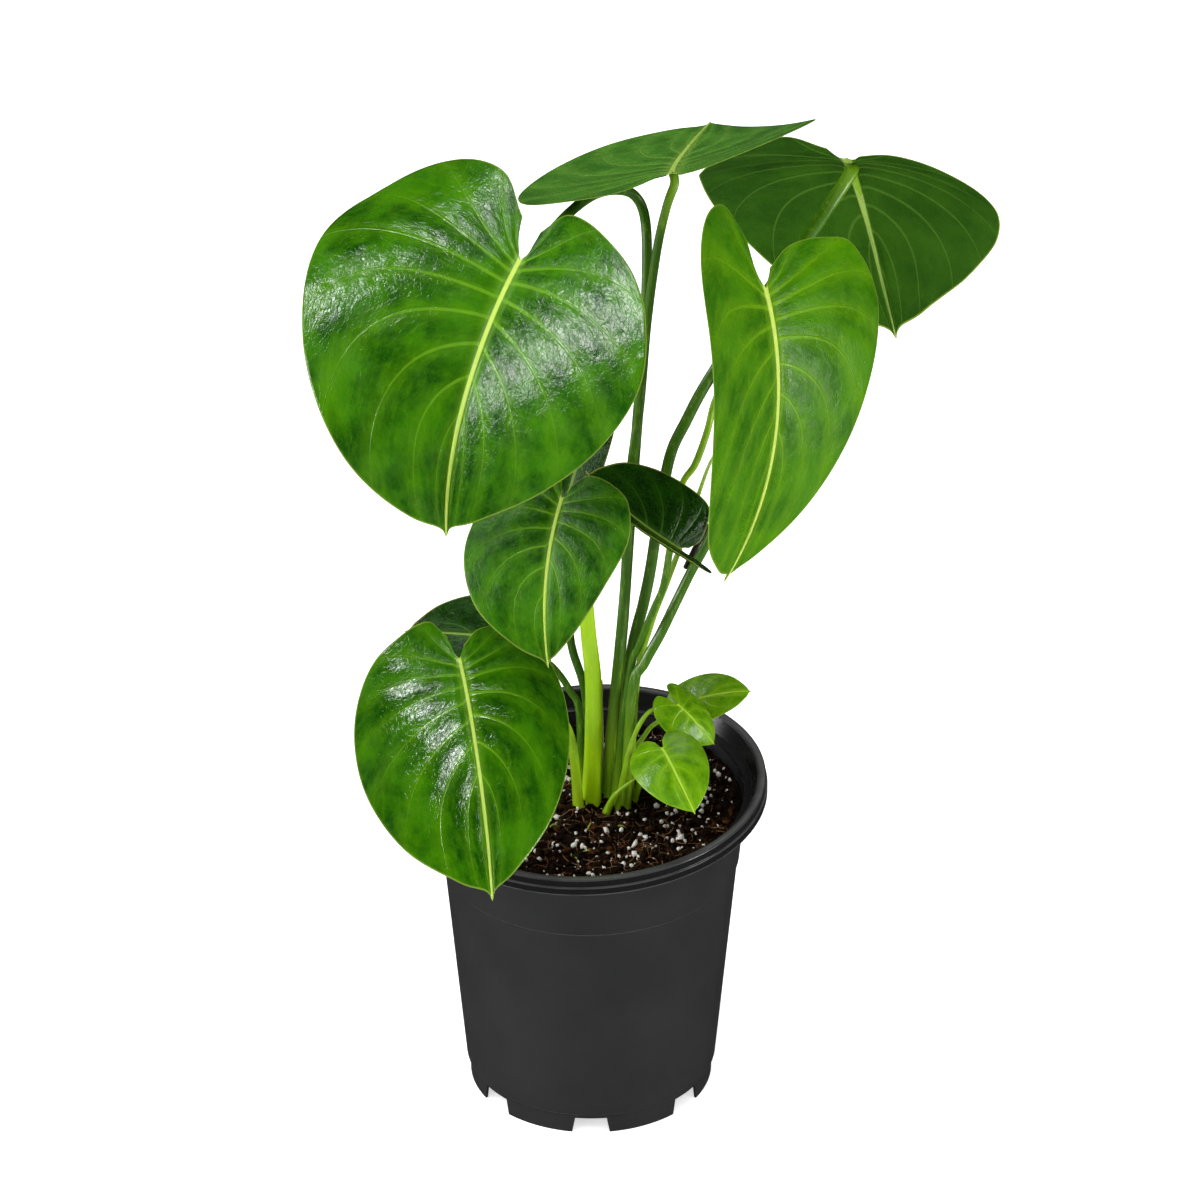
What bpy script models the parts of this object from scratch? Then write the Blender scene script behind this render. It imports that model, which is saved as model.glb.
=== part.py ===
"""A young monstera in a moulded nursery pot: blades, stalks, soil and pot as separate solids.

Metres, +Z up. The origin is on the floor, under the middle of the whole plant's box. Run it with
blender --background --python part.py, or from Blender's text editor.
"""

import math

import bmesh
import bpy
import numpy as np
from mathutils import Vector

# ---- Driving dimensions: pot ----
POT_HEIGHT = 0.150
RIM_RADIUS = 0.0775
RIM_REACH = 0.0091  # how far the lip stands out from the collar
COLLAR_TAPER = 0.0036
COLLAR_HEIGHT = 0.0305
COLLAR_STEP = 0.0007
COLLAR_TOP_RADIUS = RIM_RADIUS - RIM_REACH
WALL_TOP_RADIUS = COLLAR_TOP_RADIUS - COLLAR_TAPER
FOOT_RADIUS = 0.697 * RIM_RADIUS
FOOT_HEIGHT = 0.0095
FOOT_STEP = 0.0016  # how far the wall stands out over the foot
LIP_HEIGHT = 0.0078
LIP_STEP = 0.0007
LIP_STEP_DROP = 0.0038
FLANGE_WIDTH = 0.0037
LEDGE_DROP = 0.0069
LEDGE_INSET = 0.0024
WALL = 0.0012
FLOOR = 0.0014
FEET = 7
NOTCH_WIDTH = 0.0155
NOTCH_HEIGHT = FOOT_HEIGHT - FLOOR - 0.0005
DRAIN_RADIUS = 0.0045
DRAIN_CIRCLE = 0.70 * FOOT_RADIUS
POT_SEGMENTS = 63

# The soft rim stands out of level: it rises by these slopes towards +X and +Y.
RIM_SLOPE_X = 0.050
RIM_SLOPE_Y = 0.045
SLOPE_START = 0.33  # share of the height below which the pot is true

# ---- Driving dimensions: soil and plant ----
CLEARANCE = 0.0003
SOIL_DROP = 0.0130  # rim top down to the soil at the wall
SOIL_CROWN = 0.0025  # rise of the soil towards the stems
BLADE = 0.0008
BLADE_EDGE = 0.0005
PLANT_SCALE = 1.0
TUBE_SIDES = 8


# ---- Helpers ----
def clear_scene():
    for obj in list(bpy.data.objects):
        bpy.data.objects.remove(obj, do_unlink=True)


def material(name, color, roughness):
    """A Principled material with one colour and roughness."""
    made = bpy.data.materials.get(name) or bpy.data.materials.new(name)
    made.use_nodes = True
    shader = made.node_tree.nodes["Principled BSDF"]
    shader.inputs["Base Color"].default_value = (*color, 1.0)
    shader.inputs["Roughness"].default_value = roughness
    shader.inputs["Metallic"].default_value = 0.0
    return made


def finish(bm, name, finish_material, sharp_degrees=40.0):
    """The bmesh as a named, smooth-shaded object."""
    bmesh.ops.recalc_face_normals(bm, faces=bm.faces)
    mesh = bpy.data.meshes.new(name)
    bm.to_mesh(mesh)
    bm.free()
    mesh.materials.append(finish_material)
    mesh.shade_smooth()
    mesh.set_sharp_from_angle(angle=math.radians(sharp_degrees))
    obj = bpy.data.objects.new(name, mesh)
    bpy.context.scene.collection.objects.link(obj)
    return obj


def turned(profile):
    """A closed solid of revolution about Z from a closed (radius, height) profile."""
    bm = bmesh.new()
    points = [bm.verts.new((r, 0.0, z)) for r, z in profile]
    edges = [bm.edges.new((a, b)) for a, b in zip(points, points[1:])]
    bmesh.ops.spin(
        bm, geom=points + edges, cent=(0, 0, 0), axis=(0, 0, 1),
        angle=math.tau, steps=POT_SEGMENTS, use_merge=True,
    )
    bmesh.ops.remove_doubles(bm, verts=bm.verts, dist=1e-6)
    return bm


def rim_rise(x, y, z):
    """How much the out-of-level rim lifts a point: nothing low down, all of the slope at the top."""
    start = SLOPE_START * POT_HEIGHT
    share = max(0.0, (z - start) / (POT_HEIGHT - start)) ** 2
    return share * (RIM_SLOPE_X * x + RIM_SLOPE_Y * y)


def tilt_rim(bm):
    for v in bm.verts:
        v.co.z += rim_rise(*v.co)


def tube(path, radii, rooted):
    """A closed tube along path, round, with a radius at each point. A rooted one ends on the soil."""
    bm = bmesh.new()
    rings = []
    tangents = np.gradient(path, axis=0)
    u = Vector((1.0, 0.0, 0.0))
    for point, tangent, radius in zip(path, tangents, radii):
        tangent = Vector(tangent).normalized()
        u = (u - tangent * u.dot(tangent)).normalized()
        v = tangent.cross(u)
        ring = []
        for i in range(TUBE_SIDES):
            a = math.tau * i / TUBE_SIDES
            ring.append(bm.verts.new(Vector(point) + (u * math.cos(a) + v * math.sin(a)) * radius))
        rings.append(ring)
    if rooted:
        for v in rings[0]:
            v.co.z = soil_height(v.co.x, v.co.y) + CLEARANCE
    for low, high in zip(rings, rings[1:]):
        for i in range(TUBE_SIDES):
            j = (i + 1) % TUBE_SIDES
            bm.faces.new((low[i], low[j], high[j], high[i]))
    bm.faces.new(rings[0])
    bm.faces.new(rings[-1])
    return bm


# ---- Pot ----
def inner_radius(z):
    """The pot's inside below the lip: a sloping corner at the floor, the long wall, and the collar."""
    collar_z = POT_HEIGHT - LIP_HEIGHT - COLLAR_HEIGHT
    corner_z = FOOT_HEIGHT + 2.5 * WALL
    share = (corner_z - FOOT_HEIGHT) / (collar_z - FOOT_HEIGHT)
    foot = FOOT_RADIUS + FOOT_STEP
    heights = [FOOT_HEIGHT, corner_z, collar_z, POT_HEIGHT - LIP_HEIGHT]
    radii = [FOOT_RADIUS, foot + (WALL_TOP_RADIUS - foot) * share, WALL_TOP_RADIUS, COLLAR_TOP_RADIUS]
    return float(np.interp(z, heights, radii)) - WALL


def make_pot():
    """Tapered wall, stepped foot, plain collar, and a hollow stacking lip with a flat flange."""
    top = POT_HEIGHT
    lip_z = top - LIP_HEIGHT
    collar_z = lip_z - COLLAR_HEIGHT
    flange_outer = RIM_RADIUS - LIP_STEP
    flange_inner = flange_outer - FLANGE_WIDTH
    ledge_radius = flange_inner - LEDGE_INSET
    ledge_z = top - LEDGE_DROP
    floor_z = FOOT_HEIGHT - FLOOR
    profile = [
        (0.0, floor_z),
        (FOOT_RADIUS - WALL, floor_z),
        (FOOT_RADIUS - WALL, 0.0),
        (FOOT_RADIUS, 0.0),
        (FOOT_RADIUS, FOOT_HEIGHT),
        (FOOT_RADIUS + FOOT_STEP, FOOT_HEIGHT + 0.4 * FOOT_STEP),
        (WALL_TOP_RADIUS, collar_z),
        (WALL_TOP_RADIUS + COLLAR_STEP, collar_z + COLLAR_STEP),
        (COLLAR_TOP_RADIUS, ledge_z - WALL),
        (ledge_radius + WALL, ledge_z - WALL),
        (flange_inner + WALL, top - WALL),
        (RIM_RADIUS - LIP_STEP - WALL, top - WALL),
        (RIM_RADIUS - LIP_STEP - WALL, lip_z),
        (RIM_RADIUS, lip_z),
        (RIM_RADIUS, top - LIP_STEP_DROP),
        (flange_outer, top - LIP_STEP_DROP),
        (flange_outer, top),
        (flange_inner, top),
        (ledge_radius, ledge_z),
        (inner_radius(lip_z), ledge_z - 0.4 * WALL),
        (inner_radius(lip_z), lip_z),
        (inner_radius(collar_z), collar_z),
        (inner_radius(FOOT_HEIGHT + 2.5 * WALL), FOOT_HEIGHT + 2.5 * WALL),
        (inner_radius(FOOT_HEIGHT), FOOT_HEIGHT),
        (0.0, FOOT_HEIGHT),
    ]
    bm = turned(profile)
    tilt_rim(bm)
    return finish(bm, "pot", material("black_plastic", (0.012, 0.012, 0.013), 0.45), 30.0)


def cut(obj, name, bm):
    """Cuts the bmesh's solids from obj, and keeps them as a hidden cutter."""
    cutter = finish(bm, name, obj.data.materials[0])
    cutter.hide_render = True
    cutter.display_type = "WIRE"
    modifier = obj.modifiers.new(name, "BOOLEAN")
    modifier.operation = "DIFFERENCE"
    modifier.solver = "EXACT"
    modifier.object = cutter


def cut_foot(pot):
    """A notch between each pair of feet, and a round drain hole in the floor behind each foot."""
    bm = bmesh.new()
    for i in range(FEET):
        angle = math.tau * i / FEET - math.pi / 2
        out = Vector((math.cos(angle), math.sin(angle), 0.0))
        across = Vector((-out.y, out.x, 0.0)) * (NOTCH_WIDTH / 2)
        ring = []
        for reach in (FOOT_RADIUS - 4 * WALL, FOOT_RADIUS + 4 * WALL):
            for side, z in ((-1.12, -0.002), (1.12, -0.002), (0.9, NOTCH_HEIGHT), (-0.9, NOTCH_HEIGHT)):
                ring.append(bm.verts.new(out * reach + across * side + Vector((0, 0, z))))
        for face in ((0, 1, 2, 3), (4, 5, 6, 7), (0, 1, 5, 4), (1, 2, 6, 5), (2, 3, 7, 6), (3, 0, 4, 7)):
            bm.faces.new([ring[j] for j in face])
    cut(pot, "notch_cutter", bm)
    bm = bmesh.new()
    for i in range(FEET):
        angle = math.tau * (i + 0.5) / FEET - math.pi / 2
        made = bmesh.ops.create_cone(
            bm, cap_ends=True, segments=12, radius1=DRAIN_RADIUS, radius2=DRAIN_RADIUS, depth=8 * FLOOR)
        shift = Vector((math.cos(angle), math.sin(angle), 0.0)) * DRAIN_CIRCLE
        shift.z = FOOT_HEIGHT - FLOOR / 2
        bmesh.ops.translate(bm, verts=made["verts"], vec=shift)
    cut(pot, "drain_cutter", bm)


# ---- Soil ----
def soil_height(x, y):
    """The soil's surface, crowned a little towards the stems and tilted with the rim."""
    edge = POT_HEIGHT - SOIL_DROP
    radius = min(1.0, math.hypot(x, y) / inner_radius(edge))
    z = edge + SOIL_CROWN * (1 - radius**2)
    return z + rim_rise(x, y, z)


def make_soil():
    """One plug of potting mix that fills the pot, a clearance off its walls and floor."""
    edge = POT_HEIGHT - SOIL_DROP
    collar_z = POT_HEIGHT - LIP_HEIGHT - COLLAR_HEIGHT
    bottom = FOOT_HEIGHT + CLEARANCE
    profile = [(0.0, bottom), (inner_radius(bottom) - 1.2 * CLEARANCE, bottom)]
    corner_z = FOOT_HEIGHT + 2.5 * WALL
    profile += [(inner_radius(z) - CLEARANCE, z) for z in (corner_z, collar_z, edge)]
    for share in (0.75, 0.5, 0.25, 0.0):
        radius = share * inner_radius(edge)
        profile.append((radius, edge + SOIL_CROWN * (1 - share**2)))
    bm = turned(profile)
    tilt_rim(bm)
    return finish(bm, "soil", material("potting_mix", (0.020, 0.010, 0.005), 0.95))


# ---- Leaf blades ----
# Half an outline of a heart-shaped blade, from the notch at the stalk, round the lobe and down to the
# tip. Across in half widths; along in lobe heights above the stalk and in blade lengths below it.
HALF_OUTLINE = (
    (0.09, 0.55), (0.30, 1.00), (0.62, 0.90), (0.90, 0.38), (1.00, -0.16),
    (0.90, -0.46), (0.62, -0.74), (0.24, -0.925), (0.045, -0.985), (0.0, -1.03),
)
WIDEST = 0.16
ROWS = 14
COLUMNS = 4
LAST_ROW = 0.965


class Leaf:
    """One blade. Angles in degrees, lengths in millimetres, at PLANT_SCALE 1.

    stalk is where the stalk meets the blade. heading, rise and roll turn the blade: its compass
    heading from +X, the slope of its midrib there, and its roll about the midrib. droop, lobe and
    twist bend it from stalk to tip. Pairs are (left, right): width, lobe height as a share of the
    length, fold at the midrib, curl of the side, and taper towards the tip. sway bends the midrib
    sideways, as a share of the length.
    """

    def __init__(self, name, stalk, heading, rise, roll, length, width, lobes, fold, curl,
                 droop, lobe, twist, taper=(0, 0), sway=0.0, color=(0.07, 0.20, 0.02)):
        self.name = name
        self.stalk = plant_point(stalk)
        self.heading, self.rise, self.roll = (math.radians(a) for a in (heading, rise, roll))
        self.length = length / 1000 * PLANT_SCALE
        self.width = [w / 1000 * PLANT_SCALE for w in width]
        self.lobes = lobes
        self.fold = [math.radians(a) for a in fold]
        self.curl = [math.radians(a) for a in curl]
        self.droop, self.lobe, self.twist = (math.radians(a) for a in (droop, lobe, twist))
        self.taper = taper
        self.sway = sway
        self.color = color

    def frame(self):
        """Unit vectors: across the blade to its right side, against the midrib, and up off it."""
        along = np.array([math.cos(self.rise) * math.cos(self.heading),
                          math.cos(self.rise) * math.sin(self.heading), math.sin(self.rise)])
        across = np.array([-math.sin(self.heading), math.cos(self.heading), 0.0])
        up = np.cross(across, -along)
        c, s = math.cos(self.roll), math.sin(self.roll)
        return c * across + s * up, -along, c * up - s * across

    def margin(self, side, k):
        """A point of the flat outline at k from 0, beside the notch, to 1, the tip."""
        x, y = (np.array(v) for v in zip(*HALF_OUTLINE))
        x = x * self.width[side] * (1 - self.taper[side] * np.clip(-y - WIDEST, 0, 1))
        y = np.where(y > 0, y * self.lobes[side], y) * self.length
        at = k * (len(x) - 1)
        i = min(int(at), len(x) - 2)
        f = at - i
        out = []
        for p in (x, y):
            p = np.concatenate([[2 * p[0] - p[1]], p, [2 * p[-1] - p[-2]]])
            a, b, c, d = p[i:i + 4]
            out.append(0.5 * (2 * b + (c - a) * f + (2 * a - 5 * b + 4 * c - d) * f**2
                              + (3 * b - a - 3 * c + d) * f**3))
        return out

    def point(self, side, k, t):
        """The blade's middle surface at vein k, a share t of the way from midrib to margin."""
        bx, by = self.margin(side, k)
        root = -self.length * k**2.2
        x = 2 * t * (1 - t) * 0.6 * bx + t * t * bx
        y = (1 - t) ** 2 * root + 2 * t * (1 - t) * (root + 0.3 * (by - root)) + t * t * by
        return self.bent(side, x, y)

    def bent(self, side, x, y):
        """Bends a flat point: the midrib's arc, the side's fold and curl, then twist and sway."""
        s = -y / self.length
        bend = self.droop if s > 0 else self.lobe
        angle = bend * abs(s)
        if abs(bend) < 1e-6:
            my, mz = -s, 0.0
        else:
            my, mz = -math.sin(angle) / bend * math.copysign(1, s), -(1 - math.cos(angle)) / bend
            mz *= math.copysign(1, s)
        width = self.width[side]
        fold, curl = self.fold[side], self.curl[side] or 1e-6
        turn = fold + curl * x / width
        lx = (math.sin(turn) - math.sin(fold)) / curl * width
        lz = (math.cos(fold) - math.cos(turn)) / curl * width
        lx *= 1 if side else -1
        c, w = math.cos(self.twist * s), math.sin(self.twist * s)
        lx, lz = lx * c - lz * w, lx * w + lz * c
        lx += self.sway * self.length * max(s, 0.0) ** 2
        across, back, up = self.frame()
        return (self.stalk + across * lx + back * (my * self.length - math.sin(angle) * lz)
                + up * (mz * self.length + math.cos(angle) * lz))

    def grid(self):
        """Rows of points across the blade, left margin to right margin, and the tip."""
        rows = []
        for k in np.linspace(0, LAST_ROW, ROWS):
            left = [self.point(0, k, t) for t in np.linspace(1, 0, COLUMNS + 1)]
            right = [self.point(1, k, t) for t in np.linspace(0, 1, COLUMNS + 1)]
            rows.append(left + right[1:])
        return np.array(rows), self.point(1, 1.0, 1.0)

    def make(self):
        """A closed plate: the grid moved up and down by half its thickness, thinner at the edge."""
        points, tip = self.grid()
        du = np.gradient(points, axis=1)
        dk = np.gradient(points, axis=0)
        normal = np.cross(dk, du)
        normal /= np.linalg.norm(normal, axis=2, keepdims=True)
        _, _, up = self.frame()
        if (normal[2, COLUMNS] @ up) < 0:
            normal = -normal
        half = np.full(points.shape[1], BLADE / 2)
        half[[0, -1]] = BLADE_EDGE / 2
        bm = bmesh.new()
        layers = []
        for sign in (1, -1):
            shifted = points + sign * half[None, :, None] * normal
            layer = [[bm.verts.new(p) for p in row] for row in shifted]
            layers.append((layer, bm.verts.new(tip + sign * normal[-1, COLUMNS] * BLADE_EDGE / 2)))
        for layer, end in layers:
            for a, b in zip(layer, layer[1:]):
                for i in range(len(a) - 1):
                    bm.faces.new((a[i], a[i + 1], b[i + 1], b[i]))
            for i in range(len(layer[-1]) - 1):
                bm.faces.new((layer[-1][i], layer[-1][i + 1], end))
        edges = []
        for layer, end in layers:
            edges.append([row[0] for row in reversed(layer)] + layer[0][1:]
                         + [row[-1] for row in layer[1:]] + [end])
        for i in range(len(edges[0])):
            j = (i + 1) % len(edges[0])
            bm.faces.new((edges[0][i], edges[0][j], edges[1][j], edges[1][i]))
        return finish(bm, self.name, material(self.name + "_green", self.color, 0.3), 60.0)

    def seat(self, radius):
        """The last points of a stalk that comes up to the blade's underside, square to it."""
        across, back, up = self.frame()
        inward = 1.6 * radius
        dip = radius * math.tan(max(0.0, -min(self.fold) - min(0.0, min(self.curl)) * radius))
        below = BLADE / 2 + CLEARANCE + dip + 0.08 * radius
        foot = self.stalk - back * inward - up * below
        return [foot - up * reach / 1000 * PLANT_SCALE for reach in (7, 3)] + [foot]


def plant_point(point):
    """A point in millimetres from the crown on the soil to metres in the model."""
    ground = np.array([0.0, 0.0, soil_height(0.0, 0.0)])
    return ground + np.array(point, float) / 1000 * PLANT_SCALE


# ---- The plant's design: every blade, then every stalk ----
def make_leaves():
    dark, mid, bright = (0.030, 0.085, 0.014), (0.060, 0.160, 0.020), (0.110, 0.240, 0.030)
    return [
        Leaf("leaf_big_left", (-29, -45, 289), -133, -47, -3, 125, (97, 88), (0.25, 0.20), (10, 28),
             (-34, -27), 50, 34, -46, (0.39, 0.38), -0.04, mid),
        Leaf("leaf_top", (34, 15, 300), 87, -20, -14, 119, (63, 67), (0.42, 0.24), (1, 1),
             (12, -1), -5, 7, 9, (0.23, 0.07), -0.11, mid),
        Leaf("leaf_right_back", (111, 102, 263), 81, -34, -16, 120, (70, 67), (0.15, 0.43), (-15, 13),
             (-30, -14), 72, 27, 13, (-0.11, -0.25), 0.0, mid),
        Leaf("leaf_right_front", (73, -20, 263), -57, -63, -19, 130, (63, 64), (0.30, 0.11), (13, 12),
             (4, -15), 47, -12, 7, (-0.16, 0.52), -0.08, bright),
        Leaf("leaf_centre", (-12, -45, 177), -119, -52, 7, 70, (37, 36), (0.32, 0.17), (8, 7),
             (-15, -17), 27, -1, -16, (-0.66, 0.48), 0.11, mid),
        Leaf("leaf_lower_left", (-55, -78, 118), -65, -61, -30, 99, (57, 54), (0.19, 0.10), (2, 4),
             (-25, -12), 1, 0, 49, (-0.03, 0.22), -0.10, mid),
        Leaf("leaf_small_dark", (38, -14, 135), 172, 30, -24, 49, (25, 23), (0.13, 0.32), (22, 33),
             (8, 30), 8, 5, -1, (-0.13, 0.02), -0.26, dark),
        Leaf("leaf_left_dark", (-31, 6, 78), 172, 4, -30, 50, (22, 22), (0.30, 0.30), (8, 8),
             (-12, -12), 12, 0, 0, (0, 0), 0.0, dark),
        Leaf("leaf_behind", (-1, 22, 172), -122, -50, 0, 58, (24, 13), (0.30, 0.30), (8, 8),
             (-10, -10), 20, 0, 0, (0, 0), 0.0, dark),
        Leaf("offshoot_leaf_a", (42, 15, 41), -8, 28, 29, 29, (12, 12), (0.32, 0.32), (3, 5),
             (-18, -14), 26, 0, 8, (0.02, -0.11), -0.07, bright),
        Leaf("offshoot_leaf_b", (38, -5, 52), -23, -37, 16, 25, (13, 13), (0.37, 0.36), (-6, -6),
             (-26, -22), 36, -6, 7, (-0.08, 0.11), 0.12, bright),
        Leaf("offshoot_leaf_c", (31, -25, 42), -72, -4, 16, 36, (17, 17), (0.27, 0.26), (-3, -2),
             (-22, -26), 44, -10, -2, (0.06, -0.06), 0.01, bright),
    ]


# Each stalk: name, radii in millimetres from foot to end, the leaf it carries or None, and its way up
# from the crown in millimetres. One that starts at height 0 is rooted in the soil; the rolled and dry
# ones that start higher lie against a stalk that is.
def make_stalks():
    return [
        ("petiole_top", (2.5, 2.3, 2.2, 2.0, 1.9), "leaf_top",
         [(7, 3, 0), (9, 3, 34), (11, 4, 58), (15, 8, 106), (17, 12, 153), (21, 14, 191), (24, 16, 229),
          (28, 15, 263), (32, 14, 284)]),
        ("petiole_big_left", (2.6, 2.4, 2.3, 2.2, 2.2), "leaf_big_left",
         [(9, 12, 0), (11, 13, 43), (14, 14, 83), (17, 18, 130), (20, 24, 176), (23, 30, 217),
          (24, 36, 249), (23, 41, 266), (19, 42, 275), (12, 36, 281), (3, 25, 285), (-6, 8, 287),
          (-15, -12, 287), (-22, -27, 284)]),
        ("petiole_right_back", (2.6, 2.5, 2.4, 2.5, 2.9), "leaf_right_back",
         [(12, 6.5, 0), (17, 8, 65), (23, 10, 95), (26, 12, 111), (29, 15, 132), (34, 20, 161),
          (41, 25, 176), (49, 31, 190), (62, 42, 207), (77, 58, 223), (92, 77, 235), (103, 92, 245)]),
        ("petiole_right_front", (2.3, 2.3, 2.1, 1.9, 1.8), "leaf_right_front",
         [(15, -5, 0), (18, -7, 60), (23, -7, 74), (30, -6, 88), (37, -5, 104), (43, -3, 117),
          (50, 0, 130), (57, 3, 147), (63, 5, 168), (67, 5, 192), (70, 1, 218), (71, -5, 238)]),
        ("petiole_small_dark", (2.0, 1.9, 1.6, 1.5), "leaf_small_dark",
         [(10, -2.5, 0), (17, -3, 66), (21, -5, 82), (27, -9, 102), (31, -11, 114)]),
        ("main_stem", (4.6, 4.4, 3.9, 3.2, 2.8), "leaf_centre",
         [(0, 0, 0), (1, 0, 30), (1, 0, 61), (-1, -1, 86), (-3, -6, 119), (-6, -16, 147), (-9, -28, 164)]),
        ("petiole_lower_left", (2.3, 2.0, 1.8, 1.8), "leaf_lower_left",
         [(-5, -6, 0), (-8, -9, 33), (-12, -13, 49), (-19, -27, 72), (-33, -46, 93), (-44, -61, 104)]),
        ("petiole_left_dark", (2.0, 1.8, 1.6, 1.5), "leaf_left_dark",
         [(-4, 8, 0), (-5, 8, 40), (-9, 8, 51), (-14, 8, 60), (-20, 7, 67)]),
        ("petiole_behind", (2.1, 1.9, 1.7, 1.6), "leaf_behind",
         [(1, 13, 0), (-2, 13, 42), (-4, 14, 54), (-9, 18, 73), (-8, 24, 103), (-6, 28, 135),
          (-4, 28, 150)]),
        ("petiole_a", (1.3, 1.1, 1.0), "offshoot_leaf_a",
         [(14, 12, 0), (18, 15, 14), (23, 17, 22), (29, 18, 29)]),
        ("petiole_b", (1.3, 1.1, 1.0), "offshoot_leaf_b",
         [(11, -8.5, 0), (14, -10, 18), (17, -10, 33), (22, -9, 46), (28, -7, 51)]),
        ("petiole_c", (1.5, 1.3, 1.1), "offshoot_leaf_c",
         [(18.5, -1.2, 0), (22, -3, 14), (25, -6, 23)]),
        ("rolled_shoot", (1.7, 1.5, 0.9, 0.5), None,
         [(6, -9, 0), (10, -12, 9), (15, -14, 16), (20, -15, 21)]),
        ("old_sheath", (1.9, 1.9, 1.6, 0.7), None,
         [(3.5, 8, 0), (4, 8, 34), (4, 8, 46), (5, 8, 57)]),
        ("spear_leaf", (1.2, 1.6, 1.5, 0.6), None,
         [(36.5, 13.5, 141), (40, 17, 151), (45, 19.5, 158), (50, 23, 172), (53, 27, 184),
          (60, 31, 202)]),
        ("young_stalk", (1.6, 1.5, 1.3, 0.7), None,
         [(17, 2.5, 0), (20, 3, 59), (26, 4, 87), (33, 3, 109), (41, 3, 134), (49, 4, 161),
          (53, 4, 172)]),
        ("dry_sheath", (1.1, 1.3, 1.0, 0.5), None,
         [(40.5, 0, 117), (45, 4, 125), (50, 7, 133), (54, 9, 139)]),
    ]


def make_stalk(name, radii, leaf, route):
    """A tapered stalk along its route. Under a blade it ends square, one clearance off it."""
    radii = np.array(radii) / 1000 * PLANT_SCALE
    points = [plant_point(p) for p in route]
    rooted = route[0][2] == 0
    if rooted:
        x, y, _ = points[0]
        points[0] = np.array([x, y, soil_height(x, y) + CLEARANCE])
    if leaf:
        points += leaf.seat(radii[-1])
    path = np.array(points)
    run = np.concatenate([[0], np.cumsum(np.linalg.norm(np.diff(path, axis=0), axis=1))])
    wide = np.interp(run, np.linspace(0, run[-1], len(radii)), radii)
    color = (0.130, 0.260, 0.040) if leaf else (0.30, 0.28, 0.12)
    return finish(tube(path, wide, rooted), name, material(name + "_skin", color, 0.5), 60.0)


def main():
    clear_scene()
    cut_foot(make_pot())
    make_soil()
    leaves = make_leaves()
    for leaf in leaves:
        leaf.make()
    by_name = {leaf.name: leaf for leaf in leaves}
    for name, radii, carried, route in make_stalks():
        make_stalk(name, radii, by_name.get(carried), route)
    stand_on_origin()


def stand_on_origin():
    """Moves everything so that the middle of the whole plant's box is over the origin."""
    meshes = [o for o in bpy.data.objects if o.type == "MESH"]
    shown = [o for o in meshes if not o.hide_render]
    corners = np.array([v.co[:2] for o in shown for v in o.data.vertices])
    middle = (corners.min(axis=0) + corners.max(axis=0)) / 2
    for obj in meshes:
        obj.location.x, obj.location.y = -middle
    print(f"pot's axis stands at x {-middle[0]:.5f}, y {-middle[1]:.5f}")


main()
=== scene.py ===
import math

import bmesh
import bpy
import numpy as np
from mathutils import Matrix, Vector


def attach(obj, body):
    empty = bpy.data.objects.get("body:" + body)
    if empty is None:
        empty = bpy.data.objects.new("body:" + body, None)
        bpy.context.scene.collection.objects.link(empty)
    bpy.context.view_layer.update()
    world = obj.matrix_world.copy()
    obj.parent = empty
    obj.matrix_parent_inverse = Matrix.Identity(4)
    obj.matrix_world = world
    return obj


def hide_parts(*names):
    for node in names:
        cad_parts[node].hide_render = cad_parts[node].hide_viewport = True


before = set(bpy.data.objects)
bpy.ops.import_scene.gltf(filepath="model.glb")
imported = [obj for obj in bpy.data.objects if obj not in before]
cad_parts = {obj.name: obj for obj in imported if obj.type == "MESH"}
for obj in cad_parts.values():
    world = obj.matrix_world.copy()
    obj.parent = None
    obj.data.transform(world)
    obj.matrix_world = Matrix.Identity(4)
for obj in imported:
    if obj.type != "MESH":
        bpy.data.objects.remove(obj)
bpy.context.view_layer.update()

# %% [markdown]
# # A young monstera in a nursery pot
# The plant has no moving part: the pot, the soil, the stalks and the leaves stay where they are. Each
# piece of the plain solid model is replaced by a finely made surface in the same place. Shapes are
# worked out with numpy on grids, so a leaf with thousands of points is a few lines of arithmetic.
# Lengths are in metres and +Z is up. The origin is on the floor under the middle of the whole plant's
# box. The plant leans out to one side, so the pot's axis stands a little way from the origin.

AXIS = np.array([-0.02867, -0.01329, 0.0])

# %% [markdown]
# ## Light, camera and floor
# The plant stands on a pale, plain floor under soft, even light from above. Three soft boxes give the
# leaves their long highlights: two on the left, level with the big leaf and above it, and one low on
# the right. The floor and the wide suns are hidden from reflections, and the floor glows a little, so
# that the leaves stay deep green on a white ground. A long lens from some way off keeps the pot's
# sides straight.

# %% Camera and lights
def look_from(obj, place, target):
    """Puts obj at place and turns its -Z axis to target."""
    obj.location = place
    obj.rotation_euler = (Vector(target) - Vector(place)).to_track_quat("-Z", "Y").to_euler()


scene = bpy.context.scene
camera = bpy.data.objects.new("camera", bpy.data.cameras.new("camera"))
camera.data.lens = 200.2
camera.data.sensor_width = 36.0
camera.location = AXIS + (0.004, -2.494, 1.681)
camera.rotation_euler = (math.radians(60.0), 0.0, 0.0)
scene.collection.objects.link(camera)
scene.camera = camera


def direction(heading, height):
    """The unit vector at a compass heading and a height angle, both in degrees."""
    a, e = math.radians(heading), math.radians(height)
    return np.array([math.cos(e) * math.cos(a), math.cos(e) * math.sin(a), math.sin(e)])


MIDDLE = AXIS + (0.0, 0.0, 0.28)
BOX_DISTANCE = 2.0


def soft_box(name, heading, height, size, power):
    """A rectangular area light, BOX_DISTANCE from the plant's middle and facing it."""
    data = bpy.data.lights.new(name, "AREA")
    data.shape = "RECTANGLE"
    data.size, data.size_y = size
    data.energy = power
    box = bpy.data.objects.new(name, data)
    look_from(box, MIDDLE + BOX_DISTANCE * direction(heading, height), MIDDLE)
    scene.collection.objects.link(box)


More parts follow.
